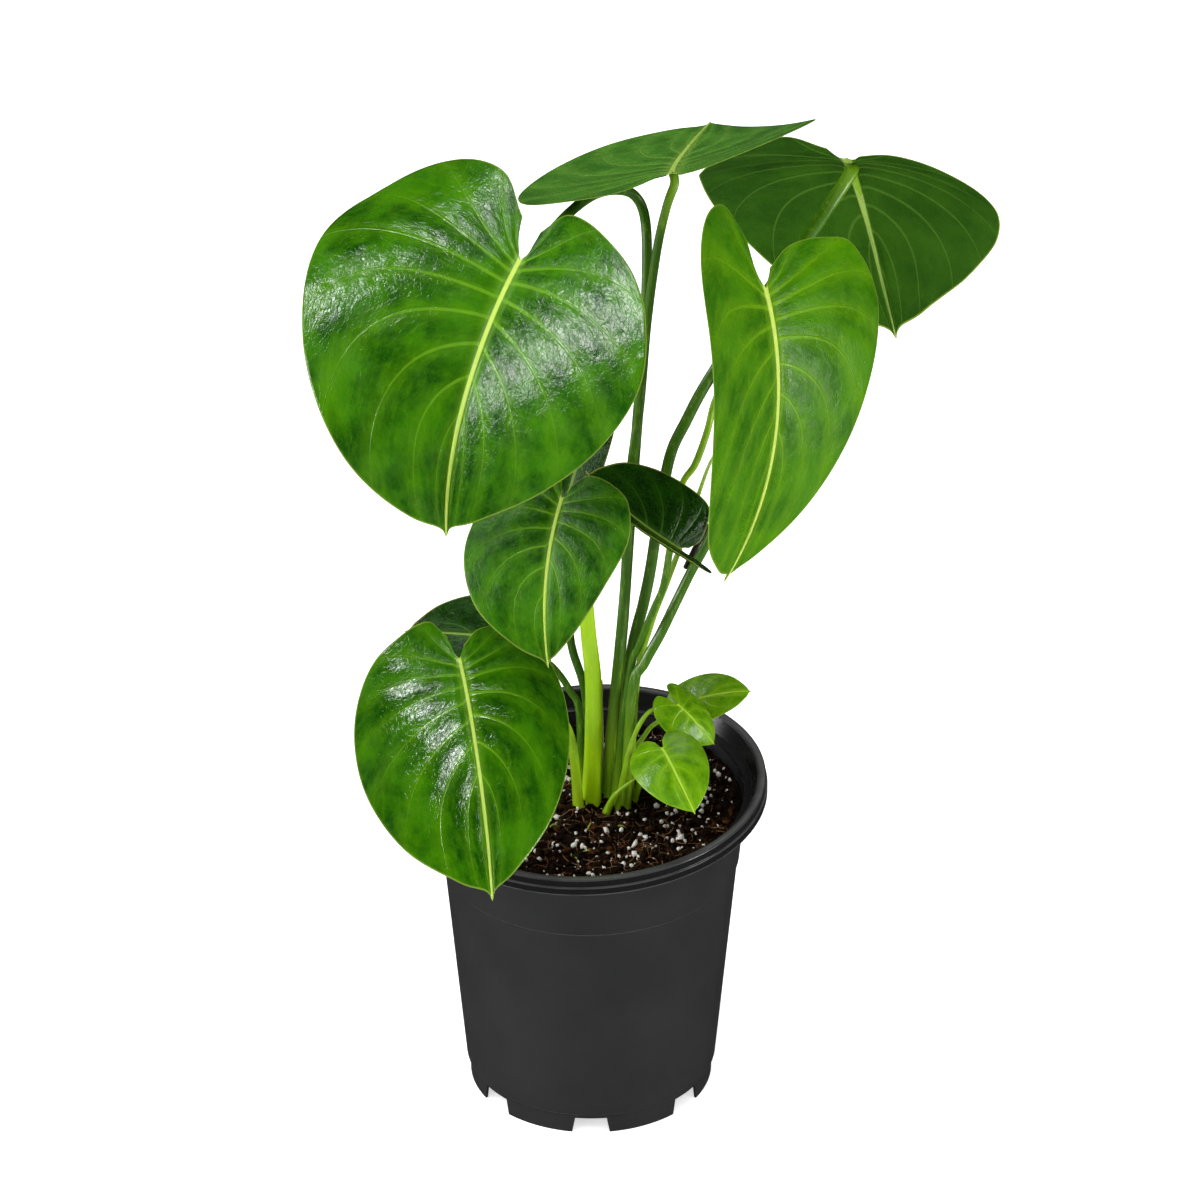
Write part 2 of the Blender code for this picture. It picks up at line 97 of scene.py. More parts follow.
def soft_sun(name, heading, height, strength, spread, shows):
    """A wide sun. Unless it shows, it lights the plant without a reflection of its own."""
    data = bpy.data.lights.new(name, "SUN")
    data.energy = strength
    data.angle = math.radians(spread)
    sun = bpy.data.objects.new(name, data)
    look_from(sun, direction(heading, height), (0, 0, 0))
    sun.visible_glossy = shows
    scene.collection.objects.link(sun)


soft_sun("overhead", -100, 66, 2.7, 70, False)
soft_sun("fill", -150, 30, 1.0, 60, False)
soft_sun("overhead_back", 80, 52, 0.5, 32, True)
soft_box("left_low", 188, 3, (0.75, 0.55), 17)
soft_box("left_high", 172, 38, (0.45, 0.35), 12)
soft_box("right_low", -24, 0, (0.50, 0.40), 19)

world = bpy.data.worlds.new("studio")
world.use_nodes = True
world.node_tree.nodes["Background"].inputs["Color"].default_value = (1.0, 1.0, 1.0, 1.0)
ray = world.node_tree.nodes.new("ShaderNodeLightPath")
seen = world.node_tree.nodes.new("ShaderNodeMapRange")
seen.inputs["To Min"].default_value = 0.03
seen.inputs["To Max"].default_value = 1.0
world.node_tree.links.new(ray.outputs["Is Camera Ray"], seen.inputs["Value"])
world.node_tree.links.new(seen.outputs[0], world.node_tree.nodes["Background"].inputs["Strength"])
scene.world = world
scene.view_settings.view_transform = "Standard"

# %% [markdown]
# ## Writing shader maths as Python
# A material is a network of nodes. Wrapping a socket in a small class lets the network be written as
# ordinary arithmetic: each operator adds one Math node and returns its output, wrapped again.

# %% A socket with operators, and a material builder
class Value:
    """A number that varies over the surface: one output socket in a material."""

    def __init__(self, look, socket):
        self.look, self.socket = look, socket

    def math(self, operation, *others):
        sockets = {i + 1: other for i, other in enumerate(others)}
        return self.look.node("ShaderNodeMath", {"operation": operation}, {0: self, **sockets})

    def __add__(self, other): return self.math("ADD", other)
    def __radd__(self, other): return self.math("ADD", other)
    def __sub__(self, other): return self.math("SUBTRACT", other)
    def __rsub__(self, other): return (self * -1.0) + other
    def __mul__(self, other): return self.math("MULTIPLY", other)
    def __rmul__(self, other): return self.math("MULTIPLY", other)
    def __truediv__(self, other): return self.math("DIVIDE", other)
    def __abs__(self): return self.math("ABSOLUTE")
    def triangle(self): return self.math("PINGPONG", 0.5)

    def ramp(self, low, high, start=0.0, end=1.0):
        """start at low and below, end at high and above, smooth between."""
        sockets = {"Value": self, "From Min": low, "From Max": high, "To Min": start, "To Max": end}
        return self.look.node("ShaderNodeMapRange", {"interpolation_type": "SMOOTHSTEP"}, sockets)


class Look:
    """A material under construction. Its finish method connects the Principled shader."""

    def __init__(self, name):
        self.material = bpy.data.materials.new(name)
        self.material.use_nodes = True
        self.tree = self.material.node_tree
        self.shader = self.tree.nodes["Principled BSDF"]

    def plug(self, socket, value):
        if isinstance(value, Value):
            self.tree.links.new(value.socket, socket)
        elif hasattr(socket.default_value, "__len__") and len(socket.default_value) == 4:
            socket.default_value = (*value[:3], 1.0)
        else:
            socket.default_value = value

    def node(self, kind, settings=None, sockets=None, out=None):
        """Adds a node: its settings first, then the values or links of its sockets."""
        made = self.tree.nodes.new(kind)
        for key, value in (settings or {}).items():
            setattr(made, key, value)
        for key, value in (sockets or {}).items():
            self.plug(made.inputs[key], value)
        if out is None:
            found = [s for s in made.outputs if s.enabled][0]
        else:
            found = made.outputs[out]
        return Value(self, found)

    def attribute(self, name):
        return self.node("ShaderNodeAttribute", {"attribute_name": name}, out="Fac")

    def place(self):
        return self.node("ShaderNodeTexCoord", out="Object")

    def stretched(self, vector, scale):
        return self.node("ShaderNodeMapping", {}, {"Vector": vector, "Scale": scale})

    def join(self, x, y, z=0.0):
        return self.node("ShaderNodeCombineXYZ", {}, {"X": x, "Y": y, "Z": z})

    def noise(self, vector, scale, detail=3.0, roughness=0.55, distortion=0.0):
        sockets = {"Vector": vector, "Scale": scale, "Detail": detail, "Roughness": roughness,
                   "Distortion": distortion}
        return self.node("ShaderNodeTexNoise", {}, sockets, out=0)

    def noise_shift(self, vector, scale, amount):
        """The vector pushed about by a noise, so that a pattern on it has no straight lines."""
        pushed = self.node("ShaderNodeTexNoise", {}, {"Vector": vector, "Scale": scale, "Detail": 2.0},
                           out="Color")
        moved = self.node("ShaderNodeVectorMath", {"operation": "SCALE"}, {0: pushed, "Scale": amount})
        return self.node("ShaderNodeVectorMath", {"operation": "ADD"}, {0: vector, 1: moved})

    def cells(self, vector, scale, feature="F1"):
        return self.node("ShaderNodeTexVoronoi", {"feature": feature},
                         {"Vector": vector, "Scale": scale}, out="Distance")

    def mix(self, factor, first, second):
        """A mix of two colours. The node's colour sockets are inputs 6 and 7 and output 2."""
        return self.node("ShaderNodeMix", {"data_type": "RGBA"}, {0: factor, 6: first, 7: second}, out=2)

    def bump(self, height, strength=0.5, distance=0.001):
        sockets = {"Height": height, "Strength": strength, "Distance": distance}
        return self.node("ShaderNodeBump", {}, sockets)

    def finish(self, color, roughness=0.5, normal=None, **fixed):
        self.plug(self.shader.inputs["Base Color"], color)
        self.plug(self.shader.inputs["Roughness"], roughness)
        if normal is not None:
            self.plug(self.shader.inputs["Normal"], normal)
        for key, value in fixed.items():
            self.plug(self.shader.inputs[key.replace("_", " ").title().replace("Ior", "IOR")], value)
        return self.material


print("ways to build a material:", [name for name in vars(Look) if name[0] != "_"])

# %% [markdown]
# The floor is one large pale square. It is only there to stand the pot on.
# Every mesh below goes through mesh_object. Stalks, pot and soil are all rows of rings with a point at
# each end, so one function gives the faces of all three.

# %% Meshes, and the floor
def turn_outwards(obj):
    """Makes every face of a closed mesh point out."""
    bm = bmesh.new()
    bm.from_mesh(obj.data)
    bmesh.ops.recalc_face_normals(bm, faces=bm.faces)
    bm.to_mesh(obj.data)
    bm.free()


def mesh_object(name, points, faces, materials=(), closed=True):
    """A smooth mesh object from points about the pot's axis and a list of faces."""
    mesh = bpy.data.meshes.new(name)
    mesh.from_pydata((np.asarray(points) + AXIS).tolist(), [], faces)
    mesh.shade_smooth()
    for each in materials:
        mesh.materials.append(each)
    obj = bpy.data.objects.new(name, mesh)
    scene.collection.objects.link(obj)
    if closed:
        turn_outwards(obj)
    return obj


def ring_faces(rings, sides):
    """Quads between each ring and the next, then a fan from the first ring to the first point after
    the rings, and one from the last ring to the second."""
    index = np.arange(rings * sides).reshape(rings, sides)
    after = np.roll(index, -1, axis=1)
    faces = np.stack([index[:-1], after[:-1], after[1:], index[1:]], -1).reshape(-1, 4).tolist()
    faces += [(b, a, rings * sides) for a, b in zip(index[0], after[0])]
    return faces + [(a, b, rings * sides + 1) for a, b in zip(index[-1], after[-1])]


def keep_number(obj, key, values):
    """Keeps a number for each point of the mesh, as an attribute that a material can read."""
    data = obj.data.attributes.new(key, "FLOAT", "POINT").data
    data.foreach_set("value", np.asarray(values, np.float32))


pale = Look("pale_floor").finish((0.90, 0.90, 0.90), 0.75, emission_color=(1.0, 1.0, 1.0),
                                 emission_strength=0.62)
corner = 6.0
square = [(-corner, -corner, 0), (corner, -corner, 0), (corner, corner, 0), (-corner, corner, 0)]
floor = mesh_object("floor", square, [(0, 1, 2, 3)], [pale], closed=False)
floor.visible_glossy = False
print("floor:", 2 * corner, "m square")

# %% [markdown]
# ## The leaf's shape
# A young monstera leaf is a heart. Half of its outline is a few points joined by a smooth curve. Each
# side vein leaves the midrib and bends towards the tip until it meets the outline, so a point of the
# blade is named by two numbers: k, which vein it is on, from 0 at the notch to 1 at the tip, and t, how
# far along that vein it lies, from 0 at the midrib to 1 at the edge. Working in veins rather than in
# plain x and y makes the veins, the puckers between them and the shaded colours easy to place.

# %% Outline and veins of a flat blade
HALF_OUTLINE = np.array([
    (0.09, 0.55), (0.30, 1.00), (0.62, 0.90), (0.90, 0.38), (1.00, -0.16),
    (0.90, -0.46), (0.62, -0.74), (0.24, -0.925), (0.045, -0.985), (0.0, -1.03),
])
WIDEST = 0.16


def curve_through(points, at):
    """Catmull-Rom curve: at each place between two points, the cubic that leaves each of them
    parallel to the line between its neighbours. at runs from 0 to 1 over all the points."""
    last = len(points) - 1
    x = np.clip(at, 0, 1) * last
    i = np.minimum(x.astype(int), last - 1)
    f = (x - i)[:, None]
    p = np.vstack([2 * points[0] - points[1], points, 2 * points[-1] - points[-2]])
    a, b, c, d = p[i], p[i + 1], p[i + 2], p[i + 3]
    return 0.5 * (2 * b + (c - a) * f + (2 * a - 5 * b + 4 * c - d) * f**2
                  + (3 * b - a - 3 * c + d) * f**3)


def flat_half(leaf, side, k, t):
    """x across and y along the flat blade. The outline point is the curve at k, in half widths across
    and lengths along. The vein is a quadratic curve to it from the midrib, at length times k to the
    2.2, with its control point 0.6 of the way out and 0.3 of the way down."""
    p = HALF_OUTLINE.copy()
    p[:, 0] *= leaf["width"][side] * (1 - leaf["taper"][side] * np.clip(-p[:, 1] - WIDEST, 0, 1))
    p[:, 1] = np.where(p[:, 1] > 0, p[:, 1] * leaf["lobes"][side], p[:, 1]) * leaf["length"]
    edge = curve_through(p, k)
    bx, by = edge[:, :1], edge[:, 1:]
    root = -leaf["length"] * k[:, None] ** 2.2
    t = t[None, :]
    x = 2 * t * (1 - t) * 0.6 * bx + t * t * bx
    y = (1 - t) ** 2 * root + 2 * t * (1 - t) * (root + 0.3 * (by - root)) + t * t * by
    return x, y


print("points that shape half an outline:", len(HALF_OUTLINE))

# %% Bending the flat blade
def bend(leaf, side, x, y):
    """Bends flat points. Along the midrib the slope grows evenly from the stalk, so it is an arc:
    droop towards the tip, lobe the other way. Across, the slope starts at fold and grows by curl to
    the edge, also an arc. Then the section turns by twist, and the midrib sways aside, towards the
    tip. Last, the whole blade is turned to its heading, rise and roll and put on its stalk."""
    s = -y / leaf["length"]
    slope = np.where(s > 0, leaf["droop"], leaf["lobe"])
    slope = np.where(np.abs(slope) < 1e-4, 1e-4, slope)
    angle = slope * np.abs(s)
    along = -np.sin(angle) / slope * np.sign(s) * leaf["length"]
    up = -(1 - np.cos(angle)) / slope * np.sign(s) * leaf["length"]
    width, fold, curl = leaf["width"][side], leaf["fold"][side], leaf["curl"][side]
    curl = curl if abs(curl) > 1e-4 else 1e-4
    turn = fold + curl * x / width
    lx = (np.sin(turn) - math.sin(fold)) / curl * width * (1 if side else -1)
    lz = (math.cos(fold) - np.cos(turn)) / curl * width
    c, w = np.cos(leaf["twist"] * s), np.sin(leaf["twist"] * s)
    lx, lz = lx * c - lz * w, lx * w + lz * c
    lx = lx + leaf["sway"] * leaf["length"] * np.maximum(s, 0) ** 2
    flat = np.stack([lx, along - np.sin(angle) * lz, up + np.cos(angle) * lz], -1)
    return leaf["stalk"] + flat @ frame_of(leaf)


def frame_of(leaf):
    """Three unit vectors as rows: across the blade, back along the midrib, and up off the face."""
    h, r, o = leaf["heading"], leaf["rise"], leaf["roll"]
    along = np.array([math.cos(r) * math.cos(h), math.cos(r) * math.sin(h), math.sin(r)])
    across = np.array([-math.sin(h), math.cos(h), 0.0])
    up = np.cross(across, -along)
    return np.array([math.cos(o) * across + math.sin(o) * up, -along,
                     math.cos(o) * up - math.sin(o) * across])


half_turn = math.radians(90)
print("a midrib that droops by 90 degrees reaches", round(math.sin(half_turn) / half_turn, 3),
      "of its length")

# %% [markdown]
# ## One leaf as a solid
# The face is not smooth. The midrib and the side veins lie in grooves, the blade swells a little
# between them, the edge waves, and it thins towards the edge. The height over the bent sheet is a
# function of k and t, added along the sheet's own normal. The top and the underside are two copies of
# the grid, a blade's thickness apart, joined round the edge. The numbers that the colours need, such as
# the distance from the midrib, are kept on the points as attributes.

# %% Making a leaf
BLADE = 0.00045


def smooth_step(x, low, high):
    f = np.clip((x - low) / (high - low), 0, 1)
    return f * f * (3 - 2 * f)


def leaf_grid(leaf, rows, columns):
    """Both halves as one grid, left edge to right edge, with the numbers that go with it."""
    k = np.linspace(0, 0.992, rows)
    t = np.linspace(0, 1, columns + 1) ** 0.9
    halves = []
    for side in (0, 1):
        x, y = flat_half(leaf, side, k, t)
        sheet = bend(leaf, side, x, y)
        halves.append((sheet, x, y))
    join = lambda a, b: np.concatenate([a[:, ::-1], b[:, 1:]], axis=1)
    sheet = join(halves[0][0], halves[1][0])
    x = join(-halves[0][1], halves[1][1])
    y = join(halves[0][2], halves[1][2])
    kk = np.repeat(k[:, None], 2 * columns + 1, axis=1)
    tt = np.concatenate([-t[::-1], t[1:]])[None, :].repeat(rows, axis=0)
    return sheet, x, y, kk, tt


def grid_normals(sheet):
    n = np.cross(np.gradient(sheet, axis=0), np.gradient(sheet, axis=1))
    n /= np.linalg.norm(n, axis=2, keepdims=True) + 1e-12
    return n


def vein_place(leaf, k, t):
    """Which side vein a point is on: a whole number on a vein, a half midway between two. The veins
    of the two sides don't start opposite each other, and their spacing isn't quite even."""
    side = np.sign(t)
    sweep = 0.13 * np.abs(t) ** 1.3 * smooth_step(k, 0.03, 0.4)
    return (k - sweep) * leaf["veins"] + 0.12 * side + 0.2 * np.sin(5.0 * k + leaf["seed"] + side)


def relief(leaf, x, y, k, t):
    """Height over the sheet: swelling between side veins, a groove along each, a raised midrib with a
    groove on each side of it, and slow waves that grow towards the edge."""
    size = leaf["length"]
    a = np.abs(t)
    place = vein_place(leaf, k, t)
    f = np.abs(place - np.round(place)) * 2
    fade = smooth_step(a, 0.02, 0.2) * (1 - smooth_step(a, 0.62, 1.0)) * (1 - smooth_step(k, 0.8, 0.98))
    height = leaf["pucker"] * size * (f ** 0.7 - 0.5) * fade
    rib = 0.010 * size * (1 - 0.8 * np.clip(-y / size, 0, 1))
    away = np.abs(x) / rib
    height += 0.003 * size * np.exp(-(away / 0.8) ** 2) - 0.006 * size * np.exp(-((away - 2.4) / 1.8) ** 2)
    wave = np.sin(leaf["waves"] * 6.283 * k + leaf["seed"] + 1.7 * np.sign(t))
    height += leaf["ruffle"] * size * wave * a ** 3
    height += 0.5 * leaf["ruffle"] * size * np.sin(17 * k + 2 * leaf["seed"]) * a ** 2 * (1 - k)
    return height * (1 - smooth_step(k, 0.9, 1.0))


def make_leaf(leaf, materials):
    """The leaf as a closed, thin solid, with slot 0 for its face and slot 1 for its underside. The
    underside stands off more along the midrib, which is a thick round rib there."""
    rows, columns = leaf["grid"]
    size = leaf["length"]
    sheet, x, y, k, t = leaf_grid(leaf, rows, columns)
    n = grid_normals(sheet)
    up = frame_of(leaf)[2]
    if n[3, columns] @ up < 0:
        n = -n
    sheet = sheet + n * relief(leaf, x, y, k, t)[..., None]
    n2 = grid_normals(sheet)
    n2 *= np.sign((n2 * n).sum(-1, keepdims=True))
    half = BLADE / 2 * (0.35 + 0.65 * (1 - np.abs(t) ** 6))
    down = np.clip(-y / size, 0, 1)
    rib = 0.014 * size * (1 - down) ** 0.8 * np.exp(-(np.abs(x) / (0.013 * size)) ** 2)
    rib = rib * (1 - smooth_step(k, 0.85, 1.0)) * smooth_step(-y / size, -0.02, 0.04)
    top = sheet + n2 * half[..., None]
    under = sheet - n2 * (half + rib)[..., None]
    tip = bend(leaf, 1, np.zeros((1, 1)), np.full((1, 1), -1.03 * size))[0, 0]
    points = np.concatenate([top.reshape(-1, 3), [tip + n2[-1, columns] * 0.0001],
                             under.reshape(-1, 3), [tip - n2[-1, columns] * 0.0001]])
    across = 2 * columns + 1
    index = np.arange(rows * across).reshape(rows, across)
    a, b, c, d = index[:-1, :-1], index[:-1, 1:], index[1:, 1:], index[1:, :-1]
    quads = np.stack([a, b, c, d], -1).reshape(-1, 4)
    last = index[-1]
    fan = np.stack([last[:-1], last[1:], np.full(across - 1, rows * across)], -1)
    ring = np.concatenate([index[::-1, 0], index[0, 1:], index[1:, -1], [rows * across]])
    below = rows * across + 1
    rim = np.stack([ring, np.roll(ring, -1), np.roll(ring, -1) + below, ring + below], -1)
    faces = quads.tolist() + fan.tolist() + (quads[:, ::-1] + below).tolist()
    faces += (fan[:, ::-1] + below).tolist() + rim.tolist()
    obj = mesh_object(leaf["name"] + "_blade", points, faces, materials)
    slots = np.zeros(len(faces), np.int32)
    slots[len(quads) + len(fan):] = 1
    obj.data.polygons.foreach_set("material_index", slots)
    step = np.linalg.norm(np.gradient(sheet, axis=0), axis=2) / np.gradient(k, axis=0)
    numbers = {
        "vein": vein_place(leaf, k, t),
        "vein_gap": step / leaf["veins"],
        "from_rib": np.abs(x),
        "down_rib": np.clip(-y / size, -0.5, 1.1),
        "along_vein": np.abs(t),
        "from_edge": (1 - np.abs(t)) * np.linalg.norm(sheet - sheet[:, columns:columns + 1], axis=2)
        / np.maximum(np.abs(t), 0.05),
        "side": np.sign(t),
    }
    for key, grid in numbers.items():
        flat = grid.reshape(-1)
        keep_number(obj, key, np.concatenate([flat, flat[-1:], flat, flat[-1:]]))
    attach(obj, "root")
    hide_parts(leaf["name"])
    leaf["name"] + "_green"
    return obj


print("thickness of a blade:", BLADE * 1000, "mm")

# %% [markdown]
# ## What a leaf looks like close to
# The face is a deep, clear green with a waxy shine. The midrib is pale yellow-green and broad, and the
# side veins are thin and paler than the blade. Between them a fine net of small veins puckers the
# surface, so that highlights break up into short, crooked strokes. The edge has a thin pale line. The
# underside is duller and paler, and its veins stand out more.

# %% Leaf materials
def leaf_face(leaf):
    """Green that darkens away from the veins, pale veins and margin, and a puckered, waxy surface. The
    darker deep patches are painted shade, and the lighter lit green near the veins and in streaks along
    them is painted light.
    """
    look = Look(leaf["name"] + "_face")
    place = look.place()
    vein, gap = look.attribute("vein"), look.attribute("vein_gap")
    down, out = look.attribute("down_rib"), look.attribute("along_vein")
    rib, edge, side = look.attribute("from_rib"), look.attribute("from_edge"), look.attribute("side")
    size = leaf["length"]
    off = vein.triangle() * gap
    wide = (1.15 - out) * 0.0042 * size + 0.00016
    on_vein = (off / wide).ramp(0.55, 1.5, 1.0, 0.0)
    rib_wide = (1.05 - down) * 0.0078 * size + 0.00030
    on_rib = (rib / rib_wide).ramp(0.60, 1.25, 1.0, 0.0)
    by_rib = (rib / rib_wide).ramp(1.0, 6.0, 1.0, 0.0)
    flow = look.join(vein + side * 20.0, out * 6.0, 0.0)
    patches = look.noise(place, 5.0 / size, 3.0, 0.6)
    streaks = look.noise(look.stretched(flow, (3.0, 1.0, 1.0)), 1.6, 4.0, 0.65, 0.4)
    near = (off / gap).ramp(0.0, 0.42, 1.0, 0.0)
    # Painted shade and light: random patches of the darker deep green, then the lighter lit green near the
    # veins and in streaks along them.
    body = look.mix(patches.ramp(0.36, 0.66), leaf["deep"], leaf["green"])
    body = look.mix(near * 0.35 + streaks.ramp(0.35, 0.8, 0.0, 0.40), body, leaf["lit"])
    body = look.mix(by_rib * 0.35, body, leaf["vein"])
    net = look.cells(look.noise_shift(place, 900.0, 0.0012), 420.0, "DISTANCE_TO_EDGE")
    fine = net.ramp(0.0, 0.10, 1.0, 0.0)
    body = look.mix(fine * 0.07, body, leaf["vein"])
    body = look.mix(on_vein * (1.08 - out) * 0.55, body, leaf["vein"])
    body = look.mix(on_rib * 0.92, body, leaf["rib"])
    body = look.mix(edge.ramp(0.0001, 0.0008, leaf["edge"], 0.0), body, leaf["rim"])
    specks = look.cells(place, 330.0).ramp(0.035, 0.06, 1.0, 0.0)
    rare = look.noise(place, 160.0, 1.0).ramp(0.60, 0.64)
    body = look.mix(specks * rare * 0.5, body, (0.75, 0.78, 0.62))
    crinkle = look.noise(look.stretched(flow, (4.0, 2.2, 1.0)), 1.0, 4.0, 0.6, 1.2)
    dimple = look.cells(look.noise_shift(place, 200.0, 0.006), 190.0, "SMOOTH_F1")
    grain = look.noise(place, 900.0, 3.0, 0.6)
    height = crinkle * leaf["crinkle"] + dimple * 0.50 + fine * -0.05 + grain * 0.03
    height = height + on_vein * 0.25 + on_rib * -0.05
    normal = look.bump(height, 0.5, 0.0011)
    rough = look.noise(place, 60.0, 3.0).ramp(0.3, 0.7, leaf["gloss"] - 0.03, leaf["gloss"] + 0.08)
    return look.finish(body, rough + on_rib * 0.08, normal, specular_ior_level=leaf["shine"])


def leaf_back(leaf):
    """The underside: dull mid green with veins that stand out as pale cords."""
    look = Look(leaf["name"] + "_underside")
    place = look.place()
    vein, gap, out = look.attribute("vein"), look.attribute("vein_gap"), look.attribute("along_vein")
    rib, edge, down = look.attribute("from_rib"), look.attribute("from_edge"), look.attribute("down_rib")
    size = leaf["length"]
    off = vein.triangle() * gap
    on_vein = (off / ((1.15 - out) * 0.0085 * size + 0.0002)).ramp(0.4, 1.4, 1.0, 0.0)
    on_rib = (rib / ((1.12 - down) * 0.015 * size + 0.0003)).ramp(0.7, 1.2, 1.0, 0.0)
    net = look.cells(look.noise_shift(place, 900.0, 0.0012), 420.0, "DISTANCE_TO_EDGE")
    fine = net.ramp(0.0, 0.12, 1.0, 0.0)
    patches = look.noise(place, 6.0 / size, 4.0, 0.6)
    body = look.mix(patches.ramp(0.3, 0.7), (0.014, 0.066, 0.0012), (0.028, 0.100, 0.0025))
    body = look.mix(fine * 0.22, body, (0.050, 0.130, 0.010))
    body = look.mix(on_vein * 0.45, body, (0.090, 0.200, 0.020))
    body = look.mix(on_rib * 0.9, body, (0.300, 0.440, 0.090))
    body = look.mix(edge.ramp(0.0002, 0.0009, 0.7, 0.0), body, leaf["rim"])
    height = on_vein * 0.8 + fine * 0.25 + look.noise(place, 500.0, 3.0) * 0.25
    return look.finish(body, 0.55, look.bump(height, 0.6, 0.0008), specular_ior_level=0.04)


print("a leaf has two looks:", leaf_face.__name__, "and", leaf_back.__name__)

# %% [markdown]
# ## The twelve leaves
# Each leaf is a row of numbers: where it meets its stalk, how it is turned, how long and wide it is, how
# it folds, curls and droops. Every one of them hangs differently, because each turned its own way as it
# grew. The three smallest belong to a young shoot beside the main stem, and are a brighter green.

# %% The leaves' numbers, and the leaves
CROWN = np.array([0.0, 0.0, 0.1395])


def plant_point(p):
    """A point in millimetres from the crown on the soil, in metres about the pot's axis."""
    return CROWN + np.array(p, float) / 1000


# Each tone gives a leaf's green three times: green itself, a darker deep that is painted shade, and a
# lighter lit that is painted light.
TONES = {
    "mid": dict(green=(0.025, 0.126, 0.0002), deep=(0.002, 0.040, 0.0002), lit=(0.060, 0.190, 0.0003),
                vein=(0.130, 0.310, 0.010), rib=(0.480, 0.640, 0.100), rim=(0.330, 0.430, 0.060)),
    "fresh": dict(green=(0.044, 0.170, 0.0002), deep=(0.018, 0.100, 0.0002),
                  lit=(0.100, 0.250, 0.0004), vein=(0.150, 0.330, 0.004), rib=(0.560, 0.700, 0.120),
                  rim=(0.330, 0.430, 0.060)),
    # The sheen tone is a painted sheen: a paler, greyer green that paints the light the leaf reflects into
    # its colour.
    "sheen": dict(green=(0.058, 0.215, 0.012), deep=(0.024, 0.130, 0.006),
                  lit=(0.120, 0.300, 0.030), vein=(0.260, 0.480, 0.060), rib=(0.480, 0.660, 0.120),
                  rim=(0.330, 0.430, 0.060)),
    # The dark tone is painted shade, for whole leaves that stand in shadow.
    "dark": dict(green=(0.005, 0.036, 0.0005), deep=(0.002, 0.016, 0.0004), lit=(0.012, 0.060, 0.001),
                 vein=(0.055, 0.150, 0.015), rib=(0.200, 0.320, 0.040), rim=(0.400, 0.420, 0.060)),
    "bright": dict(green=(0.110, 0.270, 0.0015), deep=(0.050, 0.170, 0.001), lit=(0.190, 0.400, 0.004),
                   vein=(0.250, 0.480, 0.010), rib=(0.400, 0.620, 0.040), rim=(0.300, 0.460, 0.030)),
}


def leaf(name, stalk, heading, rise, roll, length, width, lobes, fold, curl, droop, lobe, twist,
         taper=(0, 0), sway=0.0, tone="mid", veins=11, pucker=0.004, ruffle=0.004, waves=2.5,
         seed=0.0, gloss=0.14, crinkle=0.8, edge=0.45, shine=0.5, grid=(150, 40)):
    """The numbers of one leaf, from millimetres and degrees. Pairs are (left, right)."""
    turn = math.radians
    return dict(
        TONES[tone], name=name, stalk=plant_point(stalk), heading=turn(heading), rise=turn(rise),
        roll=turn(roll), length=length / 1000, width=[w / 1000 for w in width], lobes=lobes,
        fold=[turn(a) for a in fold], curl=[turn(a) for a in curl], droop=turn(droop),
        lobe=turn(lobe), twist=turn(twist), taper=taper, sway=sway, veins=veins, pucker=pucker,
        ruffle=ruffle, waves=waves, seed=seed, gloss=gloss, crinkle=crinkle, edge=edge,
        shine=shine, grid=grid)


